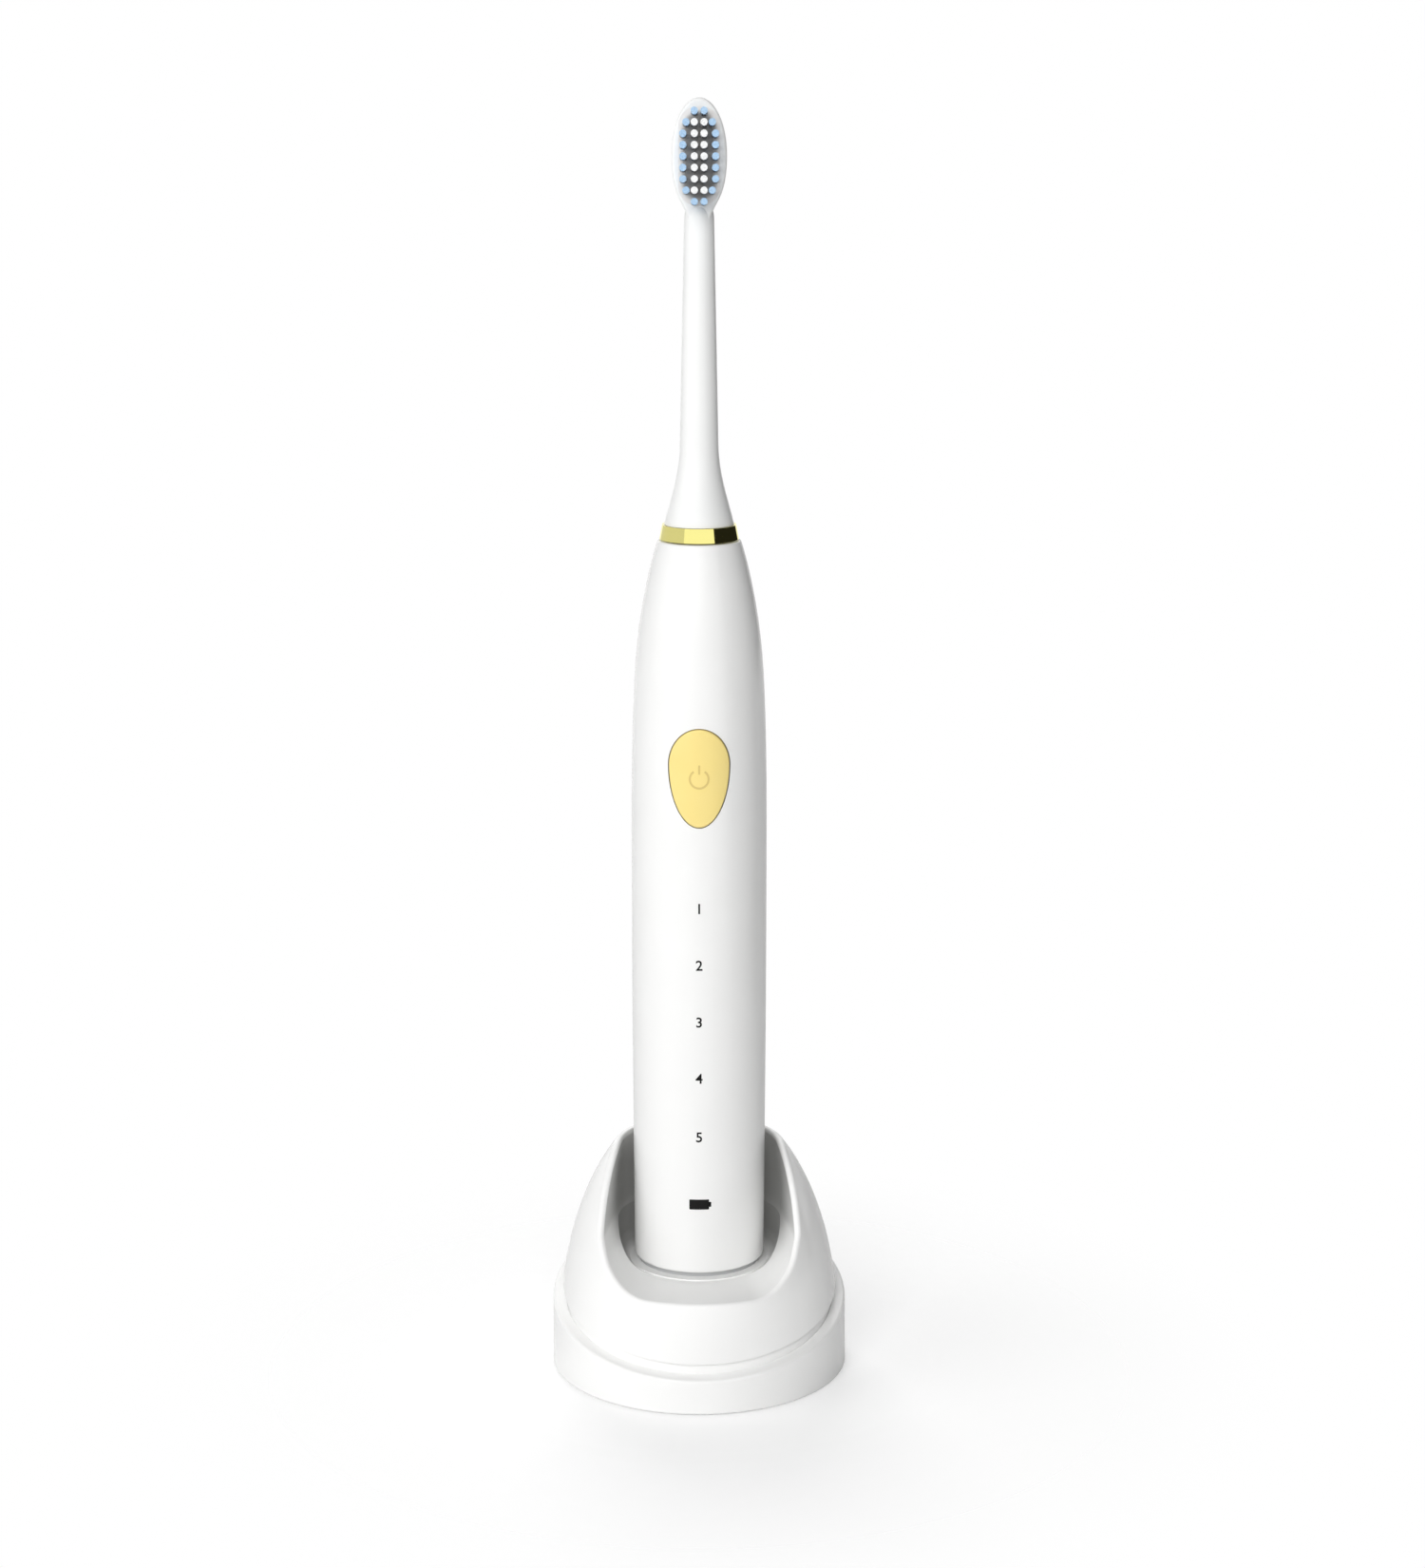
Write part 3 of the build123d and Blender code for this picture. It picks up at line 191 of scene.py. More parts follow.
# Studio
AMBIENT = 0.12
FLOOR_RADIUS = 0.8
FLOOR_STEPS = 96
FLOOR_FADE = (0.035, 0.13)
FLOOR_GLOW = 0.47
FLOOR_WHITE = "#F2F2F2"  # as it throws light on the object
FLOOR_SEEN = "#CBCBCB"   # as the camera sees it, under its glow
AIM = (0, 0, 0.12)
LAMP_DISTANCE = 1.4
LAMP_SIZE = 0.9
LAMPS = {
    "key_soft_box": dict(azimuth=-9, elevation=25, watts=15.2),
    "side_soft_box": dict(azimuth=-72, elevation=22, watts=5.2),
    "back_soft_box": dict(azimuth=190, elevation=25, watts=14),
}
CARD_SIDE = 0.25
CARD_NEAR = -0.25
CARD_SPLIT = 0.11
CARD_TOP = 0.7
CARDS = {
    "dark_card": dict(side=CARD_SIDE, far=0.40, bottom=CARD_SPLIT, top=CARD_TOP, level=0.015),
    "low_card": dict(side=CARD_SIDE, far=0.12, bottom=0, top=CARD_SPLIT, level=0.015),
    "grey_card": dict(side=-CARD_SIDE, far=0.40, bottom=CARD_SPLIT, top=CARD_TOP, level=0.68),
}


# Materials

def linear(hex_colour):
    """An sRGB hex colour as linear red, green, blue and alpha."""
    parts = [int(hex_colour[k:k + 2], 16) / 255 for k in (1, 3, 5)]
    return [c / 12.92 if c <= 0.04045 else ((c + 0.055) / 1.055) ** 2.4 for c in parts] + [1.0]


def add(tree, kind, links=None, **settings):
    """Add a node to a tree: its own settings, and what each input holds or is linked to."""
    node = tree.nodes.new(kind)
    for name, value in settings.items():
        setattr(node, name, value)
    for socket, source in (links or {}).items():
        if isinstance(source, bpy.types.NodeSocket):
            tree.links.new(source, node.inputs[socket])
        else:
            node.inputs[socket].default_value = source
    return node


def start_material(name, **constants):
    """A new material with its shader, and the object coordinates that its patterns read."""
    material = bpy.data.materials.new(name)
    material.use_nodes = True
    tree = material.node_tree
    shader = tree.nodes["Principled BSDF"]
    for socket, value in constants.items():
        shader.inputs[socket.replace("_", " ")].default_value = value
    place = add(tree, "ShaderNodeTexCoord").outputs["Object"]
    return material, tree, shader, place


def finish(tree, shader, tones=None, gloss=None, relief=None):
    """What patterns give a surface: a drift between two tones or two roughnesses, and a relief."""
    if tones:
        pattern, *pair = tones
        low, high = [linear(tone) if isinstance(tone, str) else tone for tone in pair]
        mix = add(tree, "ShaderNodeMix", {"Factor": pattern, 6: low, 7: high}, data_type="RGBA")
        tree.links.new(mix.outputs[2], shader.inputs["Base Color"])
    if gloss:
        pattern, low, high = gloss
        drift = add(tree, "ShaderNodeMapRange", {"Value": pattern, "To Min": low, "To Max": high})
        tree.links.new(drift.outputs["Result"], shader.inputs["Roughness"])
    if relief:
        pattern, depth = relief
        bump = add(tree, "ShaderNodeBump", {"Height": pattern, "Distance": depth})
        tree.links.new(bump.outputs["Normal"], shader.inputs["Normal"])


def moulded_plastic(name, tones, roughness, grain, depth, ior=1.54):
    """Injection-moulded plastic: tone and gloss drift with its flow, and the mould adds grain."""
    material, tree, shader, place = start_material(name, IOR=ior)
    clouds = {"Vector": place, "Scale": 1 / FLOW_CLOUD, "Detail": 1.0}
    flow = add(tree, "ShaderNodeTexNoise", clouds).outputs["Fac"]
    grains = {"Vector": place, "Scale": 1 / grain, "Detail": 3.0}
    skin = add(tree, "ShaderNodeTexNoise", grains).outputs["Fac"]
    spread = (roughness - GLOSS_DRIFT, roughness + GLOSS_DRIFT)
    finish(tree, shader, tones=(flow, *tones), gloss=(flow, *spread), relief=(skin, depth))
    return material


def lightened_edge(material, tone):
    """The pad's plastic, whose grey is painted shade between the tufts, with a lighter tone all
    round its edge.
    """
    tree = material.node_tree
    shader = tree.nodes["Principled BSDF"]
    spot = add(tree, "ShaderNodeTexCoord").outputs["Object"]
    for operation, term in (
        ("SUBTRACT", (0, 0, PAD_MIDDLE)),
        ("ABSOLUTE", (0, 0, 0)),
        ("SUBTRACT", (0, 0, PAD_SHADE_LINE)),
        ("MAXIMUM", (0, 0, 0)),
        ("MULTIPLY", (1, 0, 1)),
    ):
        spot = add(tree, "ShaderNodeVectorMath", {0: spot, 1: term}, operation=operation).outputs[0]
    reach = add(tree, "ShaderNodeVectorMath", {0: spot}, operation="LENGTH")
    amount = add(
        tree,
        "ShaderNodeMapRange",
        {"Value": reach.outputs["Value"], "From Min": PAD_SHADE_FADE[0], "From Max": PAD_SHADE_FADE[1]},
        interpolation_type="SMOOTHSTEP",
    )
    plain = shader.inputs["Base Color"].links[0].from_socket
    finish(tree, shader, tones=(amount.outputs[0], plain, tone))
    return material


def darkened_inside(material, tone):
    """The cradle's plastic with painted shade: greyer on the walls that face inwards, which deepens
    to the back.
    """
    tree = material.node_tree
    shader = tree.nodes["Principled BSDF"]
    coords = add(tree, "ShaderNodeTexCoord").outputs
    level = add(
        tree, "ShaderNodeVectorMath", {0: coords["Object"], 1: (1, 1, 0)}, operation="MULTIPLY"
    )
    outwards = add(tree, "ShaderNodeVectorMath", {0: level.outputs[0]}, operation="NORMALIZE")
    facing = add(
        tree,
        "ShaderNodeVectorMath",
        {0: outwards.outputs[0], 1: coords["Normal"]},
        operation="DOT_PRODUCT",
    )
    inner = add(
        tree,
        "ShaderNodeMapRange",
        {
            "Value": facing.outputs["Value"],
            "From Min": INSIDE_SHADE_FACING[0],
            "From Max": INSIDE_SHADE_FACING[1],
        },
    )
    place = add(tree, "ShaderNodeSeparateXYZ", {0: coords["Object"]})
    depth = add(
        tree,
        "ShaderNodeMapRange",
        {"Value": place.outputs["Y"], "From Min": INSIDE_SHADE_FRONT, "From Max": INSIDE_SHADE_BACK},
        interpolation_type="SMOOTHSTEP",
    )
    amount = add(
        tree, "ShaderNodeMath", {0: inner.outputs[0], 1: depth.outputs[0]}, operation="MULTIPLY"
    )
    plain = shader.inputs["Base Color"].links[0].from_socket
    finish(tree, shader, tones=(amount.outputs[0], plain, tone))
    return material


def turned_metal(name, hex_colour, roughness, line, depth):
    """Metal with fine turning lines round the long axis, which stretch its highlights."""
    constants = dict(Metallic=1.0, Base_Color=linear(hex_colour))
    material, tree, shader, place = start_material(name, **constants)
    lines = add(
        tree,
        "ShaderNodeTexWave",
        {"Vector": place, "Scale": WAVE_LENGTH / line, "Distortion": 1.5, "Detail": 2.0},
        wave_type="BANDS",
        bands_direction="Z",
    ).outputs["Fac"]
    finish(tree, shader, gloss=(lines, roughness, roughness * LINE_DULLNESS), relief=(lines, depth))
    return material


def speckled(name, tones, roughness, speck, depth, metallic=0.0, ior=1.5):
    """Sintered or filled material: specks of two tones, and a fine pitted surface."""
    material, tree, shader, place = start_material(name, Metallic=metallic, IOR=ior)
    cells = add(tree, "ShaderNodeTexVoronoi", {"Vector": place, "Scale": 1 / speck})
    specks = cells.outputs["Distance"]
    spread = (roughness - SPECK_DRIFT, roughness + SPECK_DRIFT)
    finish(tree, shader, tones=(specks, *tones), gloss=(specks, *spread), relief=(specks, depth))
    return material


def wound_copper(name, tones, wire):
    """Enamelled copper wire, wound in close turns: a bright ridge for each turn."""
    material, tree, shader, place = start_material(name, Metallic=1.0, Roughness=0.28)
    turns = add(
        tree,
        "ShaderNodeTexWave",
        {"Vector": place, "Scale": WAVE_LENGTH / wire, "Distortion": 0.4},
        wave_type="BANDS",
        bands_direction="Z",
    ).outputs["Fac"]
    finish(tree, shader, tones=(turns, *tones), relief=(turns, wire / 2))
    return material


def circuit_board(name):
    """Glass-fibre board under green solder mask: its copper tracks show through a shade lighter."""
    material, tree, shader, place = start_material(name, IOR=1.55)
    tracks = add(
        tree,
        "ShaderNodeTexBrick",
        {
            "Vector": place,
            "Color1": linear("#1E5B34"),
            "Color2": linear("#17492A"),
            "Mortar": linear("#2F7A48"),
            "Scale": 1 / BOARD_TRACK,
            "Mortar Size": 0.06,
        },
    )
    tree.links.new(tracks.outputs["Color"], shader.inputs["Base Color"])
    threads = {"Vector": place, "Scale": 1 / BOARD_WEAVE, "Detail": 2.0}
    weave = add(tree, "ShaderNodeTexNoise", threads).outputs["Fac"]
    finish(tree, shader, gloss=(weave, 0.3, 0.42), relief=(tracks.outputs["Fac"], TRACK_HEIGHT))
    return material


def bristle_nylon(name, tones):
    """Extruded nylon filaments: a soft shine, and each one has its own tone."""
    material, tree, shader, _ = start_material(name, IOR=1.53, Roughness=0.35)
    shade = add(tree, "ShaderNodeAttribute", attribute_name="filament_shade").outputs["Fac"]
    finish(tree, shader, tones=(shade, *tones))
    return material


def gold_coat(name, tones):
    """Moulded plastic with a satin gold coat, blown on: bright and even, with a soft grain."""
    material, tree, shader, place = start_material(name, Metallic=0.15, IOR=1.5)
    clouds = {"Vector": place, "Scale": 1 / COAT_CLOUD, "Detail": 1.0}
    flow = add(tree, "ShaderNodeTexNoise", clouds).outputs["Fac"]
    grains = {"Vector": place, "Scale": 1 / COAT_GRAIN, "Detail": 2.0}
    mist = add(tree, "ShaderNodeTexNoise", grains).outputs["Fac"]
    finish(tree, shader, tones=(flow, *tones), gloss=(flow, 0.34, 0.4), relief=(mist, COAT_DEPTH))
    return material


def pad_print(name, tones):
    """Pad-printed ink: dense and dry, with next to no shine, and a faint grain from the pad."""
    constants = dict(IOR=1.5, Specular_IOR_Level=0.12)
    material, tree, shader, place = start_material(name, **constants)
    grains = {"Vector": place, "Scale": 1 / INK_GRAIN, "Detail": 2.0}
    ink = add(tree, "ShaderNodeTexNoise", grains).outputs["Fac"]
    finish(tree, shader, tones=(ink, *tones), gloss=(ink, 0.5, 0.6), relief=(ink, INK_DEPTH))
    return material


def make_materials():
    """The finish of each of the record's material slots, and of what differs from its slot."""
    return {
        # ABS from a polished mould: even white, a soft gloss, and the slow ripple of the mould
        "white_shell": moulded_plastic(
            "abs_white_polished", SHELL_WHITE, roughness=0.24, grain=1.2 * MM, depth=0.003 * MM
        ),
        # The charger's ABS: a shade whiter and glossier
        "charger_white": moulded_plastic("abs_white_charger", CHARGER_WHITE, **CHARGER_SKIN),
        # The same ABS, with painted shade in grey on the cradle's inner walls that gives the scoop
        # its depth
        "cradle_white": darkened_inside(
            moulded_plastic("abs_white_cradle_painted_shade", CHARGER_WHITE, **CHARGER_SKIN), INSIDE_SHADE_GREY
        ),
        # Acetal from a smooth mould: nearly the shell's white, a little waxier
        "white_head": moulded_plastic(
            "pom_white_smooth",
            HEAD_WHITE,
            roughness=0.30,
            grain=0.8 * MM,
            depth=0.003 * MM,
            ior=1.48,
        ),
        # The pad's acetal with painted shade: a warm grey between the tufts that stands in for
        # their shadow, and nearly white at its edge
        "pad_painted_shade": lightened_edge(
            moulded_plastic(
                "pom_painted_tuft_shade",
                PAD_SHADE_GREY,
                roughness=0.4,
                grain=0.8 * MM,
                depth=0.003 * MM,
                ior=1.48,
            ),
            PAD_EDGE,
        ),
        # ABS from an etched mould: a flat grey with a fine tooth, drawn coarser so that it shows
        "grey_cap": moulded_plastic(
            "abs_grey_matt",
            ("#A9AAAB", "#B1B2B3"),
            roughness=0.5,
            grain=0.4 * MM,
            depth=0.01 * MM,
        ),
        # Moulded rubber: nearly black, with hardly any shine
        "black_rubber": moulded_plastic(
            "epdm_rubber_black",
            ("#171717", "#1E1E1E"),
            roughness=0.75,
            grain=0.3 * MM,
            depth=0.02 * MM,
        ),
        # Moulded silicone: grey and dry to the eye
        "grey_rubber": moulded_plastic(
            "silicone_grey",
            ("#B5B6B7", "#BDBEBF"),
            roughness=0.62,
            grain=0.3 * MM,
            depth=0.012 * MM,
            ior=1.41,
        ),
        # Turned steel: cool grey, its highlights drawn out by lines coarser than the real ones
        "steel": turned_metal(
            "steel_turned", "#C3C5C8", roughness=0.24, line=0.12 * MM, depth=0.004 * MM
        ),
        # Shrunk PVC sleeve: glossy blue that follows the cell in long soft waves
        "cell_sleeve": moulded_plastic(
            "pvc_sleeve_blue",
            ("#2C4F86", "#335A96"),
            roughness=0.28,
            grain=2.5 * MM,
            depth=0.02 * MM,
        ),
        # Pressed and fired ferrite: charcoal grey, with its grit drawn coarser so that it shows
        "ferrite": speckled(
            "ferrite_sintered",
            ("#232325", "#343437"),
            roughness=0.6,
            speck=0.25 * MM,
            depth=0.015 * MM,
        ),
        # Glass-filled nylon: ivory, clouded by the fibres under its skin
        "inner_plastic": speckled(
            "nylon_glass_filled",
            ("#D9D7CF", "#E6E4DD"),
            roughness=0.5,
            speck=0.4 * MM,
            depth=0.006 * MM,
        ),
        # Milky polycarbonate: warm white and smooth
        "light_plastic": moulded_plastic(
            "polycarbonate_milky",
            ("#EFEFE6", "#F6F6EE"),
            roughness=0.3,
            grain=0.8 * MM,
            depth=0.002 * MM,
            ior=1.585,
        ),
        # Enamelled copper wire in close turns, drawn coarser than real wire so that the turns show
        "copper": wound_copper("copper_wire_enamelled", ("#6E3A1C", "#C98650"), wire=0.32 * MM),
        # Etched and coated board: green, with the tracks a shade lighter
        "board_green": circuit_board("glass_fibre_board"),
        # Moulded epoxy: black, with its filler drawn coarser so that it shows
        "chip_black": speckled(
            "epoxy_black",
            ("#151515", "#202020"),
            roughness=0.55,
            speck=0.2 * MM,
            depth=0.008 * MM,
        ),
        # Sintered bronze: dull gold, with its tiny pores drawn coarser so that they show
        "bronze": speckled(
            "bronze_sintered",
            ("#8A6534", "#A67E48"),
            roughness=0.4,
            speck=0.2 * MM,
            depth=0.01 * MM,
            metallic=1.0,
        ),
        # Gold-coated ABS: pale and satin, with the coat's grain drawn coarser so that it shows
        "gold_satin": gold_coat("abs_gold_satin", ("#F5DE8A", "#F7E192")),
        # Polished brass: a pale yellow mirror, with turning lines coarser than the real ones
        "gold_polished": turned_metal(
            "brass_gold_polished", "#FEF59A", roughness=0.05, line=0.2 * MM, depth=0.0004 * MM
        ),
        # Extruded nylon: sky blue, and white
        "bristle_blue": bristle_nylon("nylon_bristle_blue", ("#A7CCED", "#BDD8F0")),
        "bristle_white": bristle_nylon("nylon_bristle_white", ("#F6F7F7", "#FAFBFB")),
        # Printing ink: flat black on the handle, and an olive a shade deeper than the gold
        "print_black": pad_print("pad_print_black", ("#161616", "#1E1E1E")),
        "print_olive": pad_print("pad_print_olive", ("#D9C078", "#DEC680")),
    }


def dress(obj, material):
    """Give an object one material in place of what it has."""
    obj.data.materials.clear()
    obj.data.materials.append(material)


def new_object(name, data):
    """A new object in the scene."""
    obj = bpy.data.objects.new(name, data)
    bpy.context.scene.collection.objects.link(obj)
    return obj


def as_mesh(obj):
    """The evaluated object as a plain mesh, and the object gone."""
    bpy.context.view_layer.update()
    depsgraph = bpy.context.evaluated_depsgraph_get()
    mesh = bpy.data.meshes.new_from_object(obj.evaluated_get(depsgraph))
    bpy.data.objects.remove(obj)
    return mesh


materials = make_materials()
for row in frame["record"]["subparts"]:
    dress(frame["nodes"][row["node"]], materials[row["material_slot"]])
dress(frame["nodes"]["base_tub"], materials["charger_white"])
dress(frame["nodes"]["cradle"], materials["cradle_white"])


# Tufts

def tuft_spots():
    """The blue and the white tufts' places on the plate, across and up."""
    last = TUFT_ROWS - 1
    blue = []
    white = []
    for row in range(TUFT_ROWS):
        height = PAD_MIDDLE - TUFT_DROP + (row - last / 2) * TUFT_PITCH
        from_end = min(row, last - row)
        outer = [TUFT_INNER, TUFT_CORNER, TUFT_OUTER][min(from_end, 2)]
        blue += [(-outer, height), (outer, height)]
        if from_end > 0:
            white += [(-TUFT_INNER, height), (TUFT_INNER, height)]
    return blue, white


def tuft_values(tree, given):
    """All the numbers that a tuft is made from: its inputs, what chance gives, and the sums."""
    values = {name: given[name] for name in TUFT_INPUTS}
    values["number"] = add(tree, "GeometryNodeInputIndex").outputs[0]
    for part, (name, (low, high)) in enumerate(TUFT_CHANCE.items(), 1):
        seed = add(tree, "ShaderNodeMath", {0: given["Seed"], 1: part}, operation="ADD").outputs[0]
        span = {2: low, 3: high, "Seed": seed}
        values[name] = add(tree, "FunctionNodeRandomValue", span, data_type="FLOAT").outputs[1]
    for name, (operation, *terms) in TUFT_SUMS.items():
        links = {k: values.get(term, term) for k, term in enumerate(terms)}
        values[name] = add(tree, "ShaderNodeMath", links, operation=operation).outputs[0]
    return values


def add_filament(tree, values):
    """One filament: a flattened ball, its outer half drawn out along -Y to the tuft's length."""
    ball = add(
        tree,
        "GeometryNodeMeshUVSphere",
        {
            "Segments": FILAMENT_SIDES,
            "Rings": FILAMENT_RINGS,
            "Radius": values["Filament Radius"],
        },
    )
    laid = add(
        tree,
        "GeometryNodeTransform",
        {
            "Geometry": ball.outputs["Mesh"],
            "Rotation": (pi / 2, 0, 0),
            "Scale": (1, 1, TIP_ROUNDNESS),
        },
    )
    place = add(tree, "GeometryNodeInputPosition").outputs[0]
    depth = add(tree, "ShaderNodeSeparateXYZ", {0: place}).outputs["Y"]
    outer_half = add(tree, "FunctionNodeCompare", {0: depth, 1: EPSILON}, operation="LESS_THAN")
    stretch = add(tree, "ShaderNodeCombineXYZ", {"Y": values["draw out"]})
    drawn = add(
        tree,
        "GeometryNodeSetPosition",
        {
            "Geometry": laid.outputs[0],
            "Selection": outer_half.outputs[0],
            "Offset": stretch.outputs[0],
        },
    )
    return drawn.outputs[0]


def add_tuft(tree, values):
    """One tuft: filaments in rings, fanned out and trimmed a little uneven, each with its shade."""
    spot = add(tree, "ShaderNodeCombineXYZ", {"X": values["across"], "Z": values["up"]})
    spots = add(
        tree, "GeometryNodePoints", {"Count": values["count"], "Position": spot.outputs[0]}
    )
    lean = add(tree, "ShaderNodeCombineXYZ", {"X": values["lean x"], "Z": values["lean z"]})
    leaning = add(tree, "FunctionNodeEulerToRotation", {0: lean.outputs[0]})
    size = {"X": 1.0, "Y": values["kept length"], "Z": 1.0}
    filaments = add(
        tree,
        "GeometryNodeInstanceOnPoints",
        {
            "Points": spots.outputs[0],
            "Instance": add_filament(tree, values),
            "Rotation": leaning.outputs[0],
            "Scale": add(tree, "ShaderNodeCombineXYZ", size).outputs[0],
        },
    )
    shaded = add(
        tree,
        "GeometryNodeStoreNamedAttribute",
        {"Geometry": filaments.outputs[0], "Name": "filament_shade", "Value": values["shade"]},
        data_type="FLOAT",
        domain="INSTANCE",
    )
    return add(tree, "GeometryNodeRealizeInstances", {"Geometry": shaded.outputs[0]}).outputs[0]


def tuft_tree():
    """Geometry nodes that set a tuft on each point, turned by chance and leaning up a little."""
    tree = bpy.data.node_groups.new("filament_tufts", "GeometryNodeTree")
    face = tree.interface
    face.new_socket("Tuft Places", in_out="INPUT", socket_type="NodeSocketGeometry")
    for name, kind in TUFT_INPUTS.items():
        face.new_socket(name, in_out="INPUT", socket_type=kind)
    face.new_socket("Tufts", in_out="OUTPUT", socket_type="NodeSocketGeometry")
    given = add(tree, "NodeGroupInput").outputs
    values = tuft_values(tree, given)
    spin = add(tree, "ShaderNodeCombineXYZ", {"Y": values["turn"]})
    spun = add(tree, "FunctionNodeEulerToRotation", {0: spin.outputs[0]})
    leaning = add(
        tree, "FunctionNodeRotateRotation", {0: spun.outputs[0], 1: (-TUFT_LEAN, 0, 0)}
    )
    tufts = add(
        tree,
        "GeometryNodeInstanceOnPoints",
        {
            "Points": given["Tuft Places"],
            "Instance": add_tuft(tree, values),
            "Rotation": leaning.outputs[0],
        },
    )
    whole = add(tree, "GeometryNodeRealizeInstances", {"Geometry": tufts.outputs[0]})
    smooth = add(tree, "GeometryNodeSetShadeSmooth", {"Geometry": whole.outputs[0]})
    nylon = add(
        tree,
        "GeometryNodeSetMaterial",
        {"Geometry": smooth.outputs[0], "Material": given["Nylon"]},
    )
    add(tree, "NodeGroupOutput", {"Tufts": nylon.outputs[0]})
    return tree


def make_tufts(colour, tree, places, root, length):
    """All the tufts of one colour, from the pad's inside to their trimmed ends."""
    name = f"{colour}_tufts"
    slot = f"bristle_{colour}"
    mesh = bpy.data.meshes.new(name)
    mesh.from_pydata([(x, root, z) for x, z in places], [], [])
    source = new_object(f"{name}_places", mesh)
    inputs = {
        "Tuft Radius": TUFT_RADIUS,
        "Rings": TUFT_RINGS,
        "Filament Radius": FILAMENT_RADIUS,
        "Length": length,
        "Fan": TUFT_FAN,
        "Seed": TUFT_SEEDS[colour],
        "Nylon": materials[slot],
    }
    modifier = source.modifiers.new("tufts", "NODES")
    modifier.node_group = tree
    for socket in tree.interface.items_tree:
        if socket.name in inputs:
            modifier[socket.identifier] = inputs[socket.name]
    piece = new_object(name, as_mesh(source))
    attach(piece, "head")
    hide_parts(f"bristles_{colour}")


def outline_plate(name, loops, thickness):
    """A flat plate, from closed loops of points: its edge first, and then the holes in it."""
    curve = bpy.data.curves.new(name, "CURVE")
    curve.dimensions = "2D"
    curve.fill_mode = "BOTH"
    curve.extrude = thickness / 2
    for loop in loops:
        spline = curve.splines.new("POLY")
        spline.points.add(len(loop) - 1)
        for point, (x, y) in zip(spline.points, loop):
            point.co = (x, y, 0, 1)
        spline.use_cyclic_u = True
    return as_mesh(new_object(name, curve))


def circle_points(x, y, radius, steps, start=0.0, sweep=2 * pi):
    """Points along a circle, or a part of it."""
    last = steps if sweep >= 2 * pi else steps - 1
    angles = [start + sweep * k / last for k in range(steps)]
    return [(x + radius * cos(a), y + radius * sin(a)) for a in angles]


def rounded_box(x, y, width, height, corner, steps=8):
    """The outline of a box with round corners."""
    points = []
    for quarter, (side, end) in enumerate([(1, 1), (-1, 1), (-1, -1), (1, -1)]):
        middle = (x + side * (width / 2 - corner), y + end * (height / 2 - corner))
        points += circle_points(*middle, corner, steps, quarter * pi / 2, pi / 2)
    return points


def make_tuft_pad(spots, front):
    """The insert in the brush plate, with a drilled hole round each tuft."""
    width = pad_high.x - pad_low.x
    height = pad_high.z - pad_low.z
    edge = rounded_box(0, PAD_MIDDLE, width, height, PAD_CORNER, PAD_CORNER_STEPS)
    holes = [circle_points(x, z, TUFT_HOLE, TUFT_HOLE_STEPS) for x, z in spots]
    mesh = outline_plate("tuft_pad", [edge] + holes, PAD_THICKNESS)
    upright = Matrix.Rotation(pi / 2, 4, "X")
    mesh.transform(Matrix.Translation((0, front + PAD_THICKNESS / 2, 0)) @ upright)
    pad = new_object("tuft_pad", mesh)
    dress(pad, materials["pad_painted_shade"])
    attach(pad, "head")
    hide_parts("bristles_blue", "bristles_white")


def make_brush():
    """The tufts of both colours, and the pad that they stand in."""
    blue, white = tuft_spots()
    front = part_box("bristles_white")[1].y - PAD_THICKNESS
    root = front + PAD_THICKNESS * PAD_SET
    length = root - pad_low.y - FILAMENT_RADIUS
    tree = tuft_tree()
    make_tufts("blue", tree, blue, root, length)
    make_tufts("white", tree, white, root, length)
    make_tuft_pad(blue + white, front)


make_brush()


# Printed marks

def surface_tree(node):
    """A search tree over a node's mesh, for finding its surface."""
    mesh = frame["nodes"][node].data
    faces = [list(face.vertices) for face in mesh.polygons]
    return BVHTree.FromPolygons([vert.co for vert in mesh.vertices], faces)


def print_on(name, flat, node, body, ink):
    """Lay a flat mesh, drawn across and up, on a node's front as a film that follows its curve."""
    shape = bmesh.new()
    shape.from_mesh(flat)
    left = min(vert.co.x for vert in shape.verts)
    right = max(vert.co.x for vert in shape.verts)
    for k in range(1, int((right - left) / INK_FACET) + 1):
        bmesh.ops.bisect_plane(
            shape,
            geom=shape.verts[:] + shape.edges[:] + shape.faces[:],
            plane_co=(left + k * INK_FACET, 0, 0),
            plane_no=(1, 0, 0),
            dist=EPSILON,
        )
    surface = surface_tree(node)
    for vert in shape.verts:
        across, up, level = vert.co
        hit = surface.ray_cast(Vector((across, IN_FRONT, up)), Vector((0, 1, 0)))[0]
        vert.co = (across, hit.y - INK_LIFT - level, up)
    bmesh.ops.remove_doubles(shape, verts=shape.verts, dist=EPSILON)
    bmesh.ops.recalc_face_normals(shape, faces=shape.faces)
    mesh = bpy.data.meshes.new(name)
    shape.to_mesh(mesh)
    shape.free()
    piece = new_object(name, mesh)
    dress(piece, ink)
    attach(piece, body)


def numeral(text, height):
    """A printed numeral, centred on the handle's middle line."""
    letters = bpy.data.curves.new("numeral", "FONT")
    letters.body = text
    letters.size = NUMERAL_SIZE
    letters.align_x = "CENTER"
    letters.align_y = "CENTER"
    letters.extrude = INK_THICKNESS / 2
    letters.offset = NUMERAL_WEIGHT
    mesh = as_mesh(new_object("numeral", letters))
    mesh.transform(Matrix.Translation((0, height, 0)))
    return mesh


def battery_symbol():
    """A full battery lying on its side: its case, and a nub that starts inside the case's end."""
    end = BATTERY_WIDTH / 2
    case = rounded_box(0, BATTERY_HEIGHT, BATTERY_WIDTH, BATTERY_TALL, BATTERY_CORNER)
    nub = rounded_box(end, BATTERY_HEIGHT, 2 * BATTERY_NUB, BATTERY_NUB_TALL, BATTERY_CORNER)
    return [outline_plate("battery", [outline], INK_THICKNESS) for outline in (case, nub)]


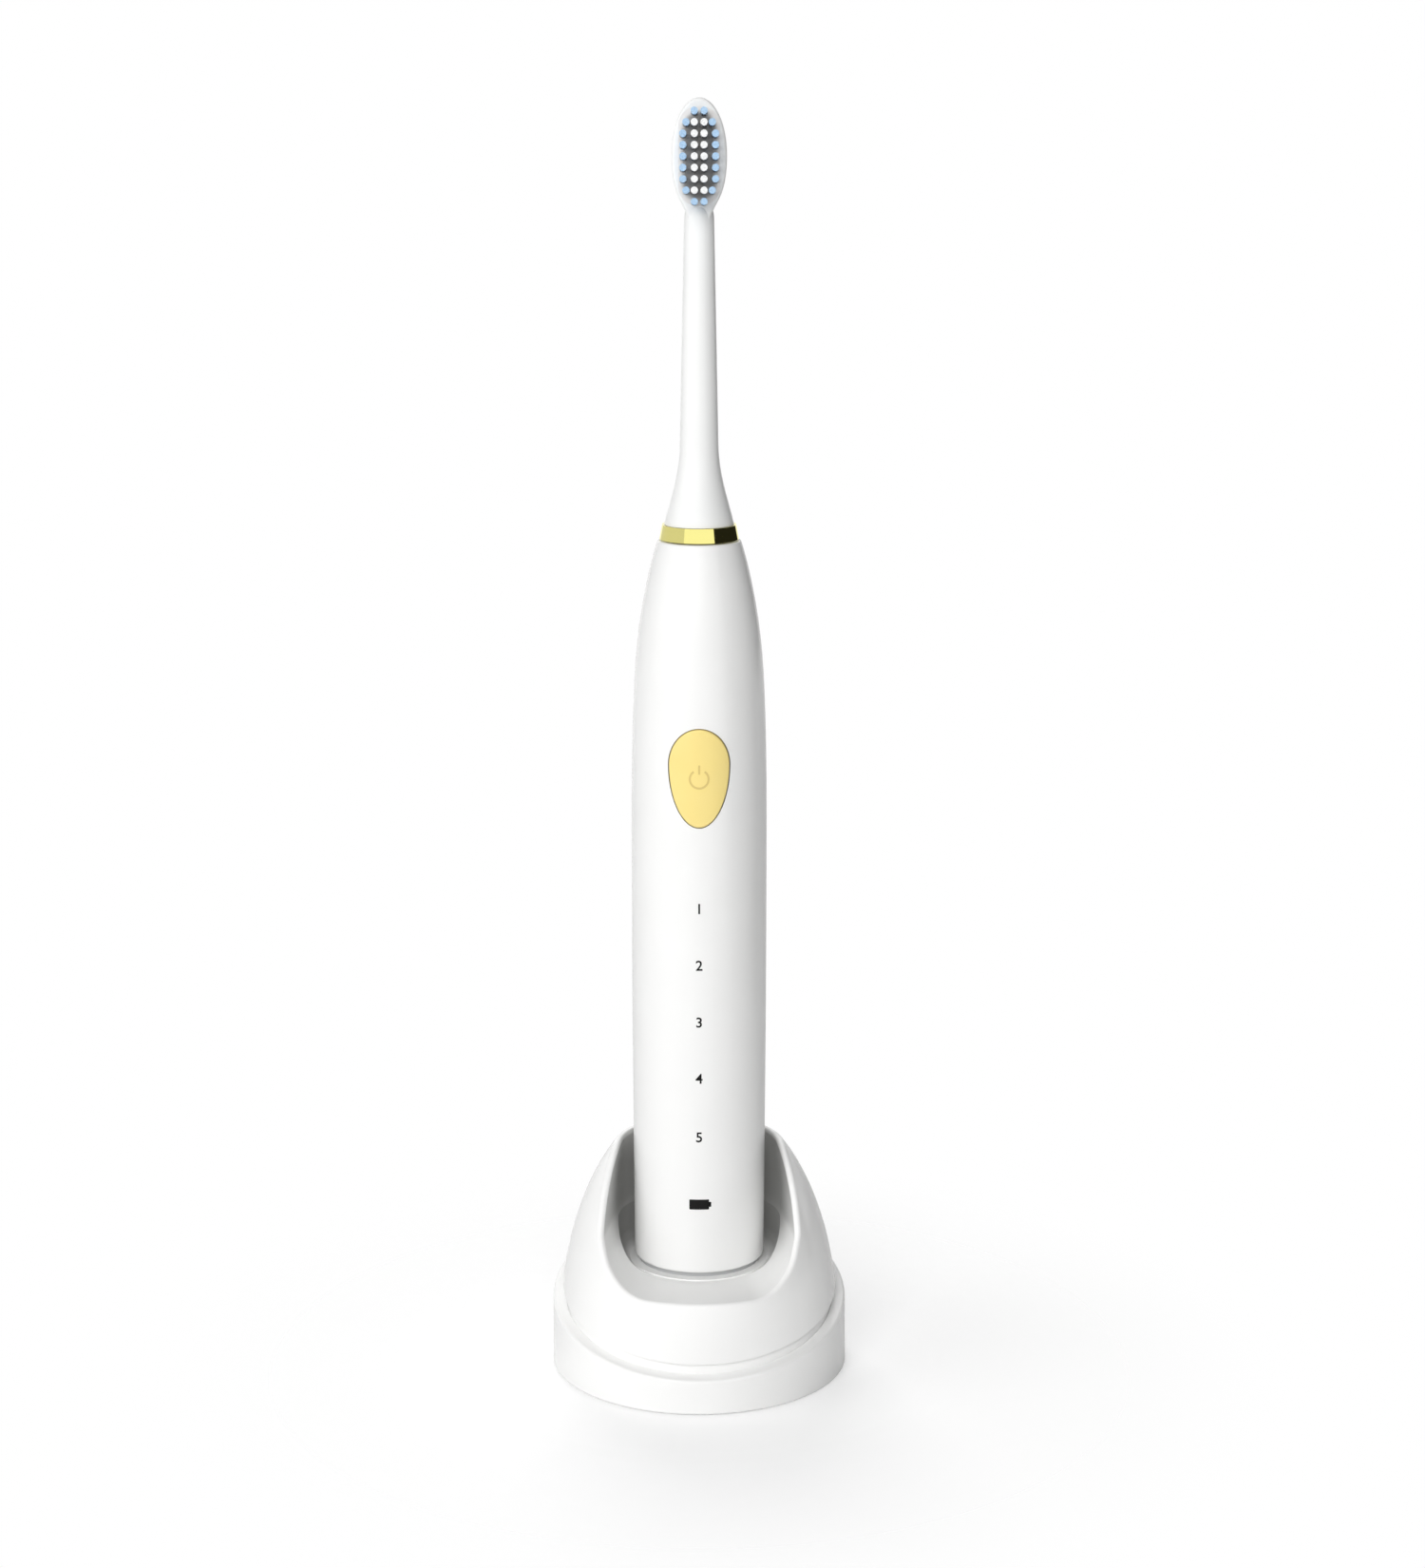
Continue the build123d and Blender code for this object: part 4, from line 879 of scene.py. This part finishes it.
def power_symbol(height):
    """A ring that is open at the top, and a bar in the opening."""
    start = pi / 2 + POWER_GAP
    sweep = 2 * pi - 2 * POWER_GAP
    outer, inner = [
        circle_points(0, height, POWER_RADIUS + side * POWER_STROKE / 2, POWER_STEPS, start, sweep)
        for side in (1, -1)
    ]
    ring = outer + inner[::-1]
    bar = rounded_box(0, height + POWER_RADIUS, POWER_STROKE, POWER_RADIUS, POWER_BAR_CORNER)
    return [outline_plate("power", [outline], INK_THICKNESS) for outline in (ring, bar)]


def make_marks():
    """The numerals and the battery on the handle, and the power symbol on its button."""
    black = materials["print_black"]
    for number, height in enumerate(MODE_HEIGHTS, 1):
        mesh = numeral(str(number), height)
        print_on(f"mode_mark_{number}", mesh, "handle_housing", "handle", black)
    for part, mesh in zip(("case", "nub"), battery_symbol()):
        print_on(f"battery_mark_{part}", mesh, "handle_housing", "handle", black)
    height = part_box("power_button")[1].z - POWER_DROP
    for part, mesh in zip(("ring", "bar"), power_symbol(height)):
        print_on(f"power_mark_{part}", mesh, "power_button", "button", materials["print_olive"])


make_marks()


# Stage

def make_world():
    """White to the camera and in reflections, and a plain level of light on the object."""
    world = bpy.data.worlds.new("white_studio")
    bpy.context.scene.world = world
    world.use_nodes = True
    tree = world.node_tree
    tree.nodes.clear()
    path = add(tree, "ShaderNodeLightPath").outputs
    seen = path["Is Camera Ray"]
    for ray in ("Is Glossy Ray", "Is Transmission Ray"):
        seen = add(tree, "ShaderNodeMath", {0: seen, 1: path[ray]}, operation="MAXIMUM").outputs[0]
    level = add(tree, "ShaderNodeMapRange", {"Value": seen, "To Min": AMBIENT, "To Max": 1.0})
    white = {"Color": (1, 1, 1, 1), "Strength": level.outputs[0]}
    sky = add(tree, "ShaderNodeBackground", white)
    add(tree, "ShaderNodeOutputWorld", {"Surface": sky.outputs[0]})


def stage_material(name):
    """A material for the stage, with no node in it yet."""
    material = bpy.data.materials.new(name)
    material.use_nodes = True
    material.node_tree.nodes.clear()
    return material, material.node_tree


def make_floor():
    """Pale floor that keeps the object's shadow and fades into the white round it."""
    mesh = bpy.data.meshes.new("floor")
    shape = bmesh.new()
    bmesh.ops.create_circle(shape, cap_ends=True, radius=FLOOR_RADIUS, segments=FLOOR_STEPS)
    shape.to_mesh(mesh)
    shape.free()
    floor = new_object("floor", mesh)
    material, tree = stage_material("floor_white_card")
    place = add(tree, "ShaderNodeTexCoord").outputs["Object"]
    reach = add(tree, "ShaderNodeVectorMath", {0: place}, operation="LENGTH").outputs["Value"]
    fade = add(
        tree,
        "ShaderNodeMapRange",
        {"Value": reach, "From Min": FLOOR_FADE[0], "From Max": FLOOR_FADE[1]},
        interpolation_type="SMOOTHSTEP",
    )
    seen = add(tree, "ShaderNodeLightPath").outputs["Is Camera Ray"]
    tones = {"Factor": seen, 6: linear(FLOOR_WHITE), 7: linear(FLOOR_SEEN)}
    tone = add(tree, "ShaderNodeMix", tones, data_type="RGBA")
    card = add(tree, "ShaderNodeBsdfDiffuse", {"Color": tone.outputs[2]})
    glow = add(tree, "ShaderNodeMath", {0: seen, 1: FLOOR_GLOW}, operation="MULTIPLY")
    lift = add(tree, "ShaderNodeEmission", {"Strength": glow.outputs[0]})
    lit = add(tree, "ShaderNodeAddShader", {0: card.outputs[0], 1: lift.outputs[0]})
    clear = add(tree, "ShaderNodeBsdfTransparent")
    gone = add(tree, "ShaderNodeMath", {0: fade.outputs[0], 1: seen}, operation="MULTIPLY")
    layers = {0: gone.outputs[0], 1: lit.outputs[0], 2: clear.outputs[0]}
    both = add(tree, "ShaderNodeMixShader", layers)
    add(tree, "ShaderNodeOutputMaterial", {"Surface": both.outputs[0]})
    dress(floor, material)


def make_lamp(name, azimuth, elevation, watts):
    """A soft box that looks at the brush's middle. Azimuth 0 is the front, positive is right."""
    data = bpy.data.lights.new(name, "AREA")
    data.shape = "RECTANGLE"
    data.size = LAMP_SIZE
    data.size_y = LAMP_SIZE
    data.energy = watts
    lamp = new_object(name, data)
    side = radians(azimuth)
    rise = radians(elevation)
    away = Vector((sin(side) * cos(rise), -cos(side) * cos(rise), sin(rise)))
    lamp.location = Vector(AIM) + away * LAMP_DISTANCE
    lamp.rotation_euler = away.to_track_quat("Z", "Y").to_euler()
    lamp.visible_glossy = False


def make_card(name, side, far, bottom, top, level):
    """A studio card that stands beside the object and shows in its shiny surfaces only."""
    mesh = bpy.data.meshes.new(name)
    corners = [(side, y, z) for y in (CARD_NEAR, far) for z in (bottom, top)]
    mesh.from_pydata(corners, [], [(0, 1, 3, 2)])
    card = new_object(name, mesh)
    material, tree = stage_material(f"{name}_paper")
    paper = add(tree, "ShaderNodeEmission", {"Strength": level})
    add(tree, "ShaderNodeOutputMaterial", {"Surface": paper.outputs[0]})
    dress(card, material)
    card.visible_camera = False
    card.visible_diffuse = False
    card.visible_shadow = False
    card.visible_transmission = False


def make_camera():
    """The camera at the photograph's viewing angle."""
    data = bpy.data.cameras.new("camera")
    data.lens = CAMERA_LENS
    data.shift_x = CAMERA_SHIFT
    camera = new_object("camera", data)
    camera.location = CAMERA_PLACE
    camera.rotation_euler = (pi / 2 - CAMERA_TILT, 0, 0)
    bpy.context.scene.camera = camera


make_world()
make_floor()
for name, settings in LAMPS.items():
    make_lamp(name, **settings)
for name, settings in CARDS.items():
    make_card(name, **settings)
make_camera()
bpy.context.scene.view_settings.view_transform = "Standard"
